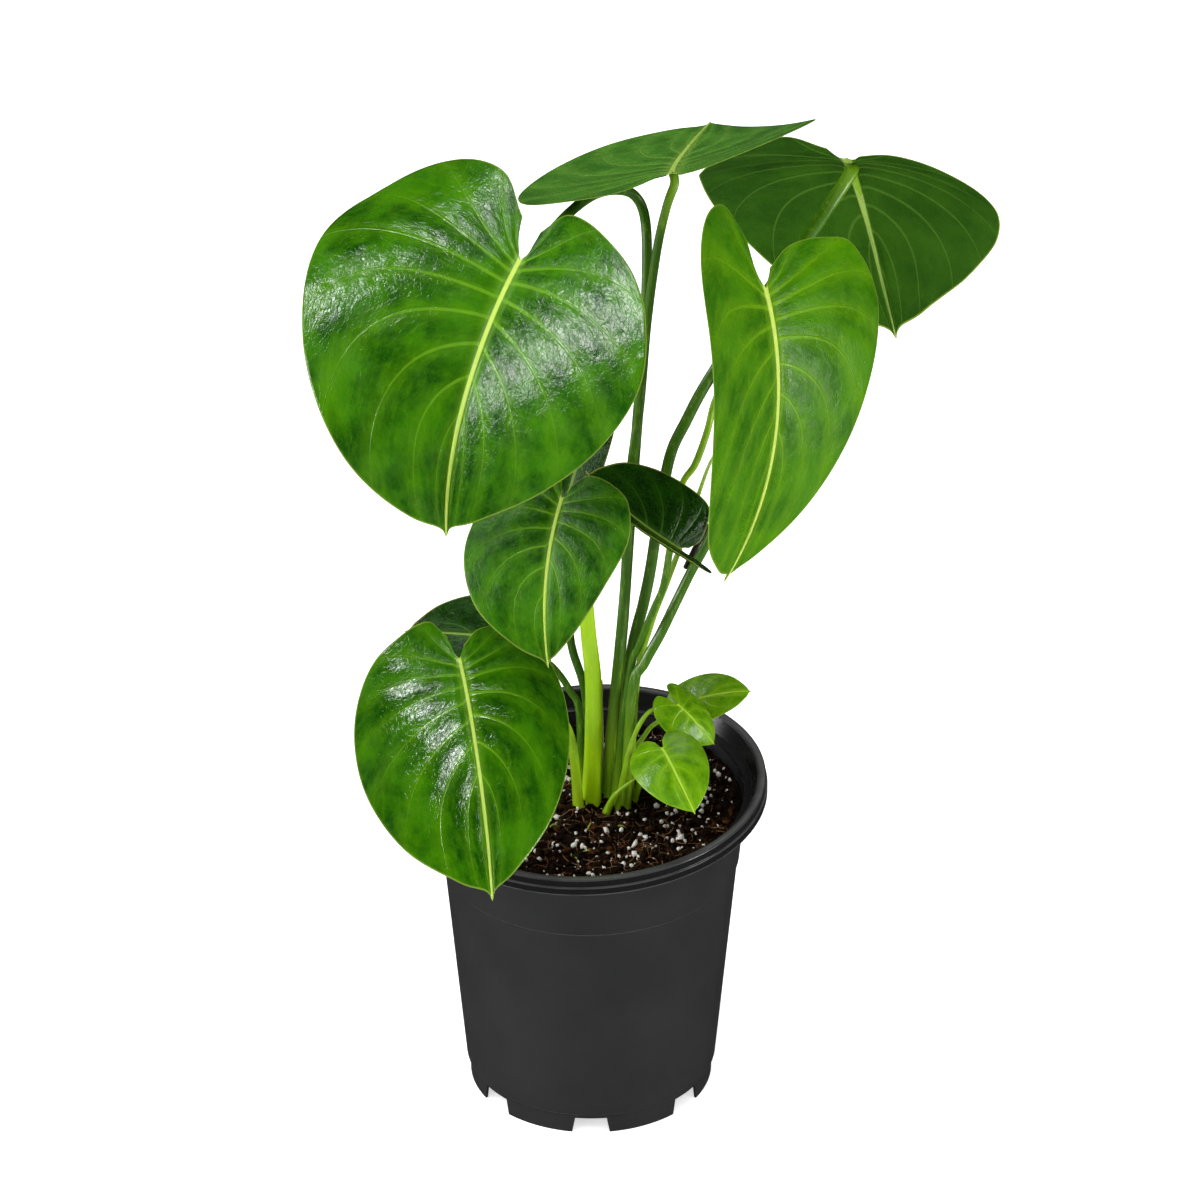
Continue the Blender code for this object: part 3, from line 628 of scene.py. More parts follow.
SMALL = dict(tone="bright", veins=6, gloss=0.10, crinkle=0.3, edge=0.3)
LEAVES = [
    leaf("leaf_big_left", (-29, -45, 289), -133, -47, -3, 125, (97, 88), (0.25, 0.20), (10, 28),
         (-34, -27), 50, 34, -46, (0.39, 0.38), -0.04, veins=12, pucker=0.0055, ruffle=0.005,
         seed=0.4, grid=(190, 56)),
    # leaf_top takes the sheen tone, so its sheen is painted into its colour.
    leaf("leaf_top", (34, 15, 300), 87, -20, -14, 119, (63, 67), (0.42, 0.24), (1, 1), (12, -1),
         -5, 7, 9, (0.23, 0.07), -0.11, "sheen", seed=1.3, gloss=0.20, grid=(170, 46)),
    leaf("leaf_right_back", (111, 102, 263), 81, -34, -16, 120, (70, 67), (0.15, 0.43), (-15, 13),
         (-30, -14), 72, 27, 13, (-0.11, -0.25), seed=2.1, gloss=0.20, grid=(170, 46)),
    leaf("leaf_right_front", (73, -20, 263), -57, -63, -19, 130, (63, 64), (0.30, 0.11), (13, 12),
         (4, -15), 47, -12, 7, (-0.16, 0.52), -0.08, "fresh", gloss=0.28, crinkle=0.4,
         shine=0.16, pucker=0.003, seed=3.0, grid=(170, 46)),
    leaf("leaf_centre", (-12, -45, 177), -119, -52, 7, 70, (37, 36), (0.32, 0.17), (8, 7),
         (-15, -17), 27, -1, -16, (-0.66, 0.48), 0.11, veins=9, pucker=0.005, seed=4.2,
         gloss=0.26, crinkle=0.4, shine=0.2, grid=(130, 34)),
    leaf("leaf_lower_left", (-55, -78, 118), -65, -61, -30, 99, (57, 54), (0.19, 0.10), (2, 4),
         (-25, -12), 1, 0, 49, (-0.03, 0.22), -0.10, pucker=0.007, ruffle=0.005, seed=5.1,
         gloss=0.10, crinkle=0.45, grid=(160, 44)),
    # The next three leaves stand in shadow: their dark tone is painted shade.
    leaf("leaf_small_dark", (38, -14, 135), 172, 30, -24, 49, (25, 23), (0.13, 0.32), (22, 33),
         (8, 30), 8, 5, -1, (-0.13, 0.02), -0.26, "dark", veins=8, pucker=0.008, seed=6.0,
         gloss=0.12, grid=(100, 28)),
    leaf("leaf_left_dark", (-31, 6, 78), 172, 4, -30, 50, (22, 22), (0.30, 0.30), (8, 8),
         (-12, -12), 12, 0, 0, tone="dark", veins=6, seed=6.6, grid=(100, 28)),
    leaf("leaf_behind", (-1, 22, 172), -122, -50, 0, 58, (24, 13), (0.30, 0.30), (8, 8),
         (-10, -10), 20, 0, 0, tone="dark", veins=6, seed=7.3, grid=(100, 28)),
    leaf("offshoot_leaf_a", (42, 15, 41), -8, 28, 29, 29, (12, 12), (0.32, 0.32), (3, 5),
         (-18, -14), 26, 0, 8, (0.02, -0.11), -0.07, seed=8.0, grid=(80, 22), **SMALL),
    leaf("offshoot_leaf_b", (38, -5, 52), -23, -37, 16, 25, (13, 13), (0.37, 0.36), (-6, -6),
         (-26, -22), 36, -6, 7, (-0.08, 0.11), 0.12, seed=8.8, grid=(80, 22), **SMALL),
    leaf("offshoot_leaf_c", (31, -25, 42), -72, -4, 16, 36, (17, 17), (0.27, 0.26), (-3, -2),
         (-22, -26), 44, -10, -2, (0.06, -0.06), 0.01, seed=9.7, grid=(90, 24), **SMALL),
]
for each in LEAVES:
    blade = make_leaf(each, [leaf_face(each), leaf_back(each)])
    print(each["name"], "points", len(blade.data.vertices))

# %% [markdown]
# ## Stalks
# A monstera's leaf stalk is round and smooth, and at its foot it opens into a sheath that wraps the
# stem. At its top is a short, slightly swollen knee, where the blade can turn to the light, and from
# there it runs on under the blade as the midrib. Each stalk is a ring of points carried along a smooth
# path. The skin is mottled: pale flecks and streaks on mid green.

# %% Tubes along paths
SIDES = 24


def run_along(points):
    """The distance along a broken line, at each of its points."""
    return np.concatenate([[0], np.cumsum(np.linalg.norm(np.diff(points, axis=0), axis=1))])


def smooth_path(points, count):
    """count places evenly spaced along the smooth curve through points."""
    points = np.array(points, float)
    fine = curve_through(points, np.linspace(0, 1, 60 * len(points)))
    run = run_along(fine)
    at = np.linspace(0, run[-1], count)
    return np.stack([np.interp(at, run, fine[:, i]) for i in range(3)], -1), at


def ring_frames(path):
    """Two unit vectors across the path at each point, carried along so that they don't spin."""
    tangents = np.gradient(path, axis=0)
    tangents /= np.linalg.norm(tangents, axis=1, keepdims=True)
    u = np.array([1.0, 0.0, 0.0])
    rows = []
    for tangent in tangents:
        u = u - tangent * (u @ tangent)
        u = u / np.linalg.norm(u)
        rows.append((u, np.cross(tangent, u)))
    return np.array(rows)


def tube_mesh(name, path, radii, shape, materials):
    """A closed tube. shape gives, for a place along and an angle, what the radius is multiplied by."""
    frames = ring_frames(path)
    angles = np.arange(SIDES) * 2 * math.pi / SIDES
    run = run_along(path)
    reach = np.repeat(radii[:, None], SIDES, axis=1) * shape(run[:, None], angles[None, :])
    ring = (frames[:, None, 0] * np.cos(angles)[None, :, None]
            + frames[:, None, 1] * np.sin(angles)[None, :, None])
    points = path[:, None] + ring * reach[..., None]
    obj = mesh_object(name, np.concatenate([points.reshape(-1, 3), path[:1], path[-1:]]),
                      ring_faces(len(path), SIDES), materials)
    keep_number(obj, "share", np.append(np.repeat(run, SIDES) / run[-1], [0, 1]))
    return obj


print("points round a stalk:", SIDES)

# %% Stalk skin
def stalk_skin(name, foot, middle, fleck, knee, roughness=0.34, mottle=0.6):
    """Green skin with long pale flecks and faint ribs, paler at the knee and at the foot."""
    look = Look(name)
    place = look.place()
    share = look.attribute("share")
    long_way = look.stretched(place, (1.0, 1.0, 0.22))
    flecks = look.noise(long_way, 520.0, 4.0, 0.7).ramp(0.52, 0.68)
    blotch = look.noise(long_way, 130.0, 3.0, 0.6).ramp(0.35, 0.7)
    ribs = look.noise(look.stretched(place, (1.0, 1.0, 0.03)), 1500.0, 2.0, 0.5)
    color = look.mix(share.ramp(0.02, 0.24), foot, middle)
    color = look.mix(blotch * mottle * 0.7, color, (foot[0] * 0.25, foot[1] * 0.35, 0.002))
    color = look.mix(flecks * mottle, color, fleck)
    color = look.mix(share.ramp(0.82, 0.97), color, knee)
    specks = look.cells(place, 620.0).ramp(0.06, 0.10, 1.0, 0.0)
    color = look.mix(specks * 0.25, color, (0.45, 0.50, 0.28))
    normal = look.bump(ribs * 0.6 + flecks * 0.2, 0.35, 0.0005)
    rough = look.noise(place, 90.0, 2.0).ramp(0.3, 0.7, roughness - 0.06, roughness + 0.10)
    return look.finish(color, rough, normal, coat_weight=0.15, coat_roughness=0.2)


TRUE_BELOW, SLOPE_SPAN = 0.0495, 0.1005
RIM_SLOPE = (0.050, 0.045)
SOIL_EDGE, SOIL_RISE, SOIL_RADIUS = 0.137, 0.0025, 0.0665


def rim_rise(x, y, z):
    """How far a point of the pot is lifted: nothing below TRUE_BELOW, and from there a slope across
    the pot that grows with the square of the height, because the soft rim isn't quite level."""
    share = np.maximum(0.0, (z - TRUE_BELOW) / SLOPE_SPAN) ** 2
    return share * (RIM_SLOPE[0] * x + RIM_SLOPE[1] * y)


def soil_height(x, y):
    """The soil's surface: crowned a little, and tilted with the pot's rim."""
    crown = SOIL_EDGE + SOIL_RISE * (1 - np.clip(np.hypot(x, y) / SOIL_RADIUS, 0, 1) ** 2)
    return crown + rim_rise(x, y, crown)


def knee_path(leaf, radius):
    """The end of a stalk: up to the underside just past the notch, round the knee, and on along the
    midrib, sinking into the blade. Returns points and radii."""
    back, up = frame_of(leaf)[1:]
    foot = leaf["stalk"] - back * 1.6 * radius
    points = [foot - up * 0.0055]
    radii = [radius * 1.06]
    for reach, sink, share in ((1.2, 1.05, 1.0), (4.2, 0.62, 0.74), (8.0, 0.42, 0.52), (13.0, 0.2, 0.3)):
        d = radius * (1.6 + reach)
        spot = bend(leaf, 1, np.zeros((1, 1)), np.full((1, 1), -d))[0, 0]
        points.append(spot - up * radius * sink)
        radii.append(radius * share)
    return points, radii


print("soil at the pot's axis:", round(float(soil_height(0.0, 0.0)), 4), "m over the floor")

# %% [markdown]
# The sheath at a stalk's foot is widest at the bottom and fades out part of the way up. Here it is a
# factor on the radius: two low wings on the side that faces the stem, dying away with height.

# %% The stalks
MM = 0.001
GREEN = dict(foot=(0.230, 0.420, 0.010), middle=(0.045, 0.140, 0.002), fleck=(0.170, 0.320, 0.020),
             knee=(0.230, 0.430, 0.015))
STEM = dict(foot=(0.400, 0.660, 0.002), middle=(0.340, 0.600, 0.001), fleck=(0.460, 0.680, 0.008),
            knee=(0.340, 0.540, 0.020), mottle=0.45)
YOUNG = dict(foot=(0.300, 0.480, 0.006), middle=(0.240, 0.450, 0.006), fleck=(0.380, 0.560, 0.030),
             knee=(0.300, 0.480, 0.060), mottle=0.4)
PAPER = dict(foot=(0.420, 0.380, 0.200), middle=(0.560, 0.520, 0.330), fleck=(0.700, 0.660, 0.480),
             knee=(0.300, 0.220, 0.110), roughness=0.55, mottle=0.6)
# Almost black, for the thin dark strand beside the right front stalk.
NEAR_BLACK = dict(foot=(0.030, 0.016, 0.008), middle=(0.012, 0.008, 0.006), fleck=(0.090, 0.060, 0.030),
           knee=(0.010, 0.007, 0.005), roughness=0.6)
STALKS = [
    ("petiole_top", (2.5, 2.3, 2.2, 2.0, 1.9), "leaf_top", GREEN,
     [(7, 3, 0), (9, 3, 34), (11, 4, 58), (15, 8, 106), (17, 12, 153), (21, 14, 191), (24, 16, 229),
      (28, 15, 263), (32, 14, 284)]),
    ("petiole_big_left", (2.6, 2.4, 2.3, 2.2, 2.2), "leaf_big_left", GREEN,
     [(9, 12, 0), (11, 13, 43), (14, 14, 83), (17, 18, 130), (20, 24, 176), (23, 30, 217),
      (24, 36, 249), (23, 41, 266), (19, 42, 275), (12, 36, 281), (3, 25, 285), (-6, 8, 287),
      (-15, -12, 287), (-22, -27, 284)]),
    ("petiole_right_back", (2.6, 2.5, 2.4, 2.5, 2.9), "leaf_right_back", GREEN,
     [(12, 6.5, 0), (17, 8, 65), (23, 10, 95), (26, 12, 111), (29, 15, 132), (34, 20, 161),
      (41, 25, 176), (49, 31, 190), (62, 42, 207), (77, 58, 223), (92, 77, 235), (103, 92, 245)]),
    ("petiole_right_front", (2.3, 2.3, 2.1, 1.9, 1.8), "leaf_right_front", GREEN,
     [(15, -5, 0), (18, -7, 60), (23, -7, 74), (30, -6, 88), (37, -5, 104), (43, -3, 117),
      (50, 0, 130), (57, 3, 147), (63, 5, 168), (67, 5, 192), (70, 1, 218), (71, -5, 238)]),
    ("petiole_small_dark", (2.0, 1.9, 1.6, 1.5), "leaf_small_dark", GREEN,
     [(10, -2.5, 0), (17, -3, 66), (21, -5, 82), (27, -9, 102), (31, -11, 114)]),
    ("main_stem", (4.6, 4.4, 3.9, 3.2, 2.8), "leaf_centre", STEM,
     [(0, 0, 0), (1, 0, 30), (1, 0, 61), (-1, -1, 86), (-3, -6, 119), (-6, -16, 147),
      (-9, -28, 164)]),
    ("petiole_lower_left", (2.3, 2.0, 1.8, 1.8), "leaf_lower_left", YOUNG,
     [(-5, -6, 0), (-8, -9, 33), (-12, -13, 49), (-19, -27, 72), (-33, -46, 93), (-44, -61, 104)]),
    ("petiole_left_dark", (2.0, 1.8, 1.6, 1.5), "leaf_left_dark", GREEN,
     [(-4, 8, 0), (-5, 8, 40), (-9, 8, 51), (-14, 8, 60), (-20, 7, 67)]),
    ("petiole_behind", (2.1, 1.9, 1.7, 1.6), "leaf_behind", GREEN,
     [(1, 13, 0), (-2, 13, 42), (-4, 14, 54), (-9, 18, 73), (-8, 24, 103), (-6, 28, 135),
      (-4, 28, 150)]),
    ("petiole_a", (1.3, 1.1, 1.0), "offshoot_leaf_a", YOUNG,
     [(14, 12, 0), (18, 15, 14), (23, 17, 22), (29, 18, 29)]),
    ("petiole_b", (1.3, 1.1, 1.0), "offshoot_leaf_b", YOUNG,
     [(11, -8.5, 0), (14, -10, 18), (17, -10, 33), (22, -9, 46), (28, -7, 51)]),
    ("petiole_c", (1.5, 1.3, 1.1), "offshoot_leaf_c", YOUNG,
     [(18.5, -1.2, 0), (22, -3, 14), (25, -6, 23)]),
    ("rolled_shoot", (1.7, 1.5, 0.9, 0.5), None, YOUNG,
     [(6, -9, 0), (10, -12, 9), (15, -14, 16), (20, -15, 21)]),
    ("old_sheath", (1.9, 1.9, 1.6, 0.7), None, PAPER,
     [(3.5, 8, 0), (4, 8, 34), (4, 8, 46), (5, 8, 57)]),
    ("spear_leaf", (1.2, 1.6, 1.5, 0.6), None, YOUNG,
     [(36.5, 13.5, 141), (40, 17, 151), (45, 19.5, 158), (50, 23, 172), (53, 27, 184),
      (60, 31, 202)]),
    ("young_stalk", (1.6, 1.5, 1.3, 0.7), None, YOUNG,
     [(17, 2.5, 0), (20, 3, 59), (26, 4, 87), (33, 3, 109), (41, 3, 134), (49, 4, 161),
      (53, 4, 172)]),
    ("dry_sheath", (1.1, 1.3, 1.0, 0.5), None, NEAR_BLACK,
     [(40.5, 0, 117), (45, 4, 125), (50, 7, 133), (54, 9, 139)]),
]
BY_NAME = {each["name"]: each for each in LEAVES}


def make_stalk(name, radii, carried, tone, route):
    """One stalk on its route, from just under the soil to its blade or to its own pointed end."""
    points = [plant_point(p) for p in route]
    radii = list(np.array(radii) * MM)
    rooted = route[0][2] == 0
    if rooted:
        x, y, _ = points[0]
        points[0] = np.array([x, y, soil_height(x, y) - 0.003])
    run = run_along(points)
    wide = list(np.interp(run, np.linspace(0, run[-1], len(radii)), radii))
    if carried:
        more, thick = knee_path(BY_NAME[carried], radii[-1])
        points, wide = points + more, wide + thick
    path, at = smooth_path(points, max(60, int(run[-1] / 0.0018)))
    run = run_along(points)
    thickness = np.interp(at, run / run[-1] * at[-1], wide)
    if not carried:
        thickness *= np.clip((at[-1] - at) / 0.006, 0.02, 1) ** 0.6
        thickness[0] *= 1.0 if rooted else 0.3

    def sheath(length, angle):
        """Flare at the soil, two wings that fade with height, and five faint ribs."""
        flare = 0.22 * np.exp(-length / 0.008) * rooted
        fade = 1 - np.clip(length / (0.35 * at[-1]), 0, 1)
        wings = (0.03 if name == "main_stem" else 0.22) * fade * rooted
        return 1 + wings * np.cos(2 * (angle - 2.2)) + flare + 0.03 * np.sin(5 * angle + 40 * length)

    thickness *= 0.88 if name == "main_stem" else 1.0
    skin = stalk_skin(name + "_surface", **tone)
    obj = tube_mesh(name + "_tube", path, thickness, sheath, [skin])
    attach(obj, "root")
    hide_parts(name)
    return obj


for row in STALKS:
    stalk = make_stalk(*row)
print("stalks:", len(STALKS))

# %% [markdown]
# ## The pot
# The pot is blown or injected from black plastic, so every corner is a little round. It is turned: a
# closed outline of radius and height goes round the axis. The foot's notches and the drain holes are
# then cut. They let water out when the pot stands on a flat surface. The rim isn't quite level, because
# a full pot of this thin plastic gives a little.

# %% The pot's outline with rounded corners
RIM, HEIGHT, WALL = 0.0775, 0.150, 0.0012
FOOT, FOOT_TOP, FLOOR_Z = 0.0540, 0.0095, 0.0081
LIP_Z, COLLAR_Z, LEDGE_Z = 0.1422, 0.1117, 0.1431
FLANGE_OUT, FLANGE_IN, LEDGE_R = 0.0768, 0.0731, 0.0707
WALL_TOP, COLLAR_TOP = 0.0648, 0.0684


def inner_radius(z):
    heights = [FOOT_TOP, FOOT_TOP + 2.5 * WALL, COLLAR_Z, LIP_Z]
    foot = FOOT + 0.0016
    share = 2.5 * WALL / (COLLAR_Z - FOOT_TOP)
    radii = [FOOT, foot + (WALL_TOP - foot) * share, WALL_TOP, COLLAR_TOP]
    return np.interp(z, heights, radii) - WALL


def rounded(points, sizes, steps=4):
    """The closed outline with each corner replaced by a short quadratic curve of about its size."""
    points = np.array(points, float)
    out = []
    for i, size in enumerate(sizes):
        here, before, after = points[i], points[i - 1], points[(i + 1) % len(points)]
        if size == 0:
            out.append(here)
            continue
        a, b = before - here, after - here
        la, lb = np.linalg.norm(a), np.linalg.norm(b)
        a, b = here + a / la * min(size, 0.45 * la), here + b / lb * min(size, 0.45 * lb)
        for f in np.linspace(0, 1, steps + 1):
            out.append((1 - f) ** 2 * a + 2 * f * (1 - f) * here + f * f * b)
    return np.array(out)


outline = [
    (0.0, FLOOR_Z), (FOOT - WALL, FLOOR_Z), (FOOT - WALL, 0.0), (FOOT, 0.0), (FOOT, FOOT_TOP),
    (FOOT + 0.0016, FOOT_TOP + 0.00064), (WALL_TOP, COLLAR_Z), (WALL_TOP + 0.0007, COLLAR_Z + 0.0007),
    (COLLAR_TOP, LEDGE_Z - WALL), (LEDGE_R + WALL, LEDGE_Z - WALL), (FLANGE_IN + WALL, HEIGHT - WALL),
    (RIM - 0.0007 - WALL, HEIGHT - WALL), (RIM - 0.0007 - WALL, LIP_Z), (RIM, LIP_Z),
    (RIM, HEIGHT - 0.0038), (FLANGE_OUT, HEIGHT - 0.0038), (FLANGE_OUT, HEIGHT), (FLANGE_IN, HEIGHT),
    (LEDGE_R, LEDGE_Z), (inner_radius(LIP_Z), LEDGE_Z - 0.4 * WALL), (inner_radius(LIP_Z), LIP_Z),
    (inner_radius(COLLAR_Z), COLLAR_Z), (inner_radius(FOOT_TOP + 2.5 * WALL), FOOT_TOP + 2.5 * WALL),
    (inner_radius(FOOT_TOP), FOOT_TOP), (0.0, FOOT_TOP),
]
roundings = [0, 0.0004, 0.0002, 0.0004, 0.0008, 0.0012, 0.0003, 0.0003, 0.0010, 0.0005, 0.0006, 0.0004,
         0.0002, 0.0005, 0.0004, 0.0003, 0.0008, 0.0008, 0.0008, 0.0004, 0.0002, 0.0004, 0.0010,
         0.0008, 0]


print("corners of the pot's outline:", len(outline))


def turned(name, profile, segments, materials):
    """A closed solid of revolution. Points on the axis are one point each, so the poles are closed."""
    angles = np.arange(segments) * 2 * math.pi / segments
    r, z = profile[:, 0], profile[:, 1]
    ring = np.stack([r[:, None] * np.cos(angles), r[:, None] * np.sin(angles),
                     np.repeat(z[:, None], segments, axis=1)], -1)
    ring[..., 2] += rim_rise(ring[..., 0], ring[..., 1], ring[..., 2])
    points = np.concatenate([ring[1:-1].reshape(-1, 3), [[0, 0, z[0]], [0, 0, z[-1]]]])
    return mesh_object(name, points, ring_faces(len(profile) - 2, segments), materials)


# %% [markdown]
# The plastic is satin, with a fine grain from the mould, a few scuffs, and dust in the corners. Its lip is
# darker, which is painted shade and a painted dark reflection, and it is glossier. Thin lighter lines
# along its edges are painted highlights. Each point keeps its height before the rim was tilted, so that
# the painted highlight lines follow the edges.

# %% Pot material, body, notches and drain holes
def pot_plastic():
    look = Look("black_pot_plastic")
    place = look.place()
    grain = look.noise(place, 1600.0, 3.0, 0.6)
    slow = look.noise(place, 28.0, 3.0, 0.5)
    scuff = look.noise(look.stretched(place, (1.0, 1.0, 6.0)), 90.0, 5.0, 0.75, 0.8).ramp(0.62, 0.78)
    dust = look.noise(place, 420.0, 4.0, 0.7).ramp(0.60, 0.74)
    color = look.mix(slow.ramp(0.3, 0.7), (0.0185, 0.0185, 0.0192), (0.0215, 0.0215, 0.0224))
    color = look.mix(scuff * 0.22, color, (0.030, 0.029, 0.028))
    color = look.mix(dust * 0.16, color, (0.050, 0.045, 0.036))
    level, reach = look.attribute("level"), look.attribute("reach")
    # Painted shade and a painted dark reflection: the lip's colour is darker than the rest of the plastic.
    # It is also glossier.
    lip = level.ramp(0.1416, 0.1426)
    color = look.mix(lip * 0.72, color, (0.0015, 0.0015, 0.0016))
    # Painted highlights: thin lighter lines along the edges of the lip, flange, collar and foot, broken up
    # by a noise.
    outside = reach.ramp(0.0762, 0.0766)
    lines = (abs(level - 0.1424) / 0.0005).ramp(0.4, 1.4, 0.55, 0.0) * outside
    lines = lines + (abs(level - 0.1461) / 0.0004).ramp(0.4, 1.4, 0.40, 0.0) * outside
    lines = lines + (abs(level - 0.1499) / 0.0005).ramp(0.4, 1.6, 0.30, 0.0)
    lines = lines + (abs(level - 0.1121) / 0.0005).ramp(0.4, 1.4, 0.22, 0.0)
    lines = lines + (abs(level - 0.0099) / 0.0006).ramp(0.4, 1.4, 0.22, 0.0)
    highlight_breakup = look.noise(place, 45.0, 3.0).ramp(0.3, 0.6, 0.45, 1.0)
    color = look.mix(lines * highlight_breakup, color, (0.120, 0.120, 0.120))
    rough = slow.ramp(0.3, 0.7, 0.30, 0.36) + scuff * 0.10 - lip * 0.12
    normal = look.bump(grain * 0.6 + slow * 0.2, 0.18, 0.0004)
    return look.finish(color, rough, normal, specular_ior_level=0.45)


def blocks(name, ends):
    """Closed straight blocks in one mesh. ends holds the ring of corners at both ends of each."""
    sides = ends.shape[2]
    faces = []
    for i in range(len(ends)):
        low = np.arange(sides) + 2 * sides * i
        up = low + sides
        faces += [low[::-1].tolist(), up.tolist()]
        faces += np.stack([low, np.roll(low, -1), np.roll(up, -1), up], -1).tolist()
    return mesh_object(name, ends.reshape(-1, 3), faces)


def cut(obj, cutter):
    """Cuts one mesh from the other and keeps the result as obj's mesh."""
    modifier = obj.modifiers.new("cut", "BOOLEAN")
    modifier.operation, modifier.solver, modifier.object = "DIFFERENCE", "EXACT", cutter
    bpy.context.view_layer.update()
    graph = bpy.context.evaluated_depsgraph_get()
    mesh = bpy.data.meshes.new_from_object(obj.evaluated_get(graph))
    obj.modifiers.clear()
    obj.data = mesh
    bpy.data.objects.remove(cutter)


FEET, HALF_NOTCH, DRAIN, DRAIN_SIDES = 7, 0.00775, 0.0045, 24
NOTCH = ((-1.12, -0.002), (1.12, -0.002), (0.9, 0.0076), (-0.9, 0.0076))  # half widths across, height
pot = turned("pot_body", rounded(outline, roundings), 240, [pot_plastic()])
notches, drains = [], []
turns = np.arange(DRAIN_SIDES) * 2 * math.pi / DRAIN_SIDES
hole = np.stack([DRAIN * np.cos(turns), DRAIN * np.sin(turns), turns * 0], -1)
for i in range(FEET):
    a = 2 * math.pi * i / FEET - math.pi / 2
    out, side = np.array([math.cos(a), math.sin(a), 0]), np.array([-math.sin(a), math.cos(a), 0])
    notches.append([[out * reach + side * across * HALF_NOTCH + (0, 0, z) for across, z in NOTCH]
                    for reach in (FOOT - 4 * WALL, FOOT + 4 * WALL)])
    a = 2 * math.pi * (i + 0.5) / FEET - math.pi / 2
    centre = 0.7 * FOOT * np.array([math.cos(a), math.sin(a), 0])
    drains.append([centre + hole + (0, 0, z) for z in (0.002, 0.015)])
cut(pot, blocks("notches", np.array(notches)))
cut(pot, blocks("drains", np.array(drains)))
spots = np.empty(len(pot.data.vertices) * 3)
pot.data.vertices.foreach_get("co", spots)
spots = spots.reshape(-1, 3) - AXIS
level = spots[:, 2].copy()
for _ in range(6):  # each round comes closer to the height before the tilt
    level = spots[:, 2] - rim_rise(spots[:, 0], spots[:, 1], level)
keep_number(pot, "level", level)
keep_number(pot, "reach", np.hypot(spots[:, 0], spots[:, 1]))
pot.data.shade_smooth()
pot.data.set_sharp_from_angle(angle=math.radians(35))
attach(pot, "root")
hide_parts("pot")
print("pot faces:", len(pot.data.polygons))

# %% [markdown]
# ## The potting mix
# The mix is dark, moist peat with orange-brown fibres and white perlite. Its surface is a disc of points
# raised by several sizes of random lump. Crumbs, perlite and fibres are small separate bodies strewn
# over it, most of them half sunk.

# %% Soil surface
LUMP_WAVES = 18


def lumps(x, y, size, depth, seed):
    """Smooth random hills about size apart: sums of sines in random directions."""
    local = np.random.default_rng(seed)
    total = np.zeros_like(x)
    for _ in range(LUMP_WAVES):
        a = local.uniform(0, 2 * math.pi)
        f = 2 * math.pi / (size * local.uniform(0.7, 1.5))
        total += np.sin(f * (x * math.cos(a) + y * math.sin(a)) + local.uniform(0, 7))
    return total * depth / math.sqrt(LUMP_WAVES)


def mix_height(x, y):
    """The soil's surface with clods, lumps and grains on it."""
    return soil_height(x, y) + (lumps(x, y, 0.018, 0.0007, 1) + lumps(x, y, 0.006, 0.00045, 2)
                                + lumps(x, y, 0.0022, 0.00022, 3))


def soil_material(name, dark, light):
    look = Look(name)
    place = look.place()
    grains = look.noise(place, 700.0, 5.0, 0.75)
    clods = look.noise(place, 160.0, 4.0, 0.7)
    color = look.mix(grains.ramp(0.38, 0.72), dark, light)
    color = look.mix(clods.ramp(0.45, 0.7) * 0.6, color, dark)
    normal = look.bump(grains * 1.0 + clods * 1.5, 0.9, 0.0015)
    return look.finish(color, clods.ramp(0.3, 0.7, 0.6, 0.95), normal, specular_ior_level=0.15)


SOIL_RINGS, SOIL_TURNS, GAP = 110, 300, 0.0003
turns = np.linspace(0, 2 * math.pi, SOIL_TURNS, endpoint=False)
radius = np.linspace(0, 1, SOIL_RINGS + 1)[1:] * (inner_radius(SOIL_EDGE) - 0.0001)
gx, gy = radius[:, None] * np.cos(turns), radius[:, None] * np.sin(turns)
rings = [*np.stack([gx, gy, mix_height(gx, gy)], -1)]
for z in (0.12, COLLAR_Z, 0.06, FOOT_TOP + 2.5 * WALL, FOOT_TOP + GAP):
    r = inner_radius(z) - GAP
    ring = np.stack([r * np.cos(turns), r * np.sin(turns), np.full_like(turns, z)], -1)
    ring[:, 2] += rim_rise(ring[:, 0], ring[:, 1], ring[:, 2])
    rings.append(ring)
middle = mix_height(np.zeros(1), np.zeros(1))[0]
soil = mesh_object("soil_plug", np.concatenate([*rings, [[0, 0, middle], [0, 0, FOOT_TOP + GAP]]]),
                   ring_faces(len(rings), SOIL_TURNS),
                   [soil_material("peat", (0.0006, 0.0002, 0.0001), (0.022, 0.008, 0.002))])
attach(soil, "root")
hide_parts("soil")
print("soil points:", len(soil.data.vertices))

# %% Crumbs, perlite and litter
K = 0.58
BALL = np.array([(1, 0, 0), (-1, 0, 0), (0, 1, 0), (0, -1, 0), (0, 0, 1), (0, 0, -1)]
                + [(x, y, z) for z in (K, -K) for y in (K, -K) for x in (K, -K)])
BALL_FACES = np.array([
    (0, 2, 6), (0, 6, 8), (0, 3, 12), (0, 8, 3), (0, 10, 2), (0, 12, 10), (1, 7, 2), (1, 9, 7),
    (1, 3, 9), (1, 13, 3), (1, 2, 11), (1, 11, 13), (4, 6, 7), (4, 8, 6), (4, 9, 8), (4, 7, 9),
    (5, 11, 10), (5, 10, 12), (5, 12, 13), (5, 13, 11), (2, 7, 6), (3, 8, 9), (2, 10, 11), (3, 13, 12),
])


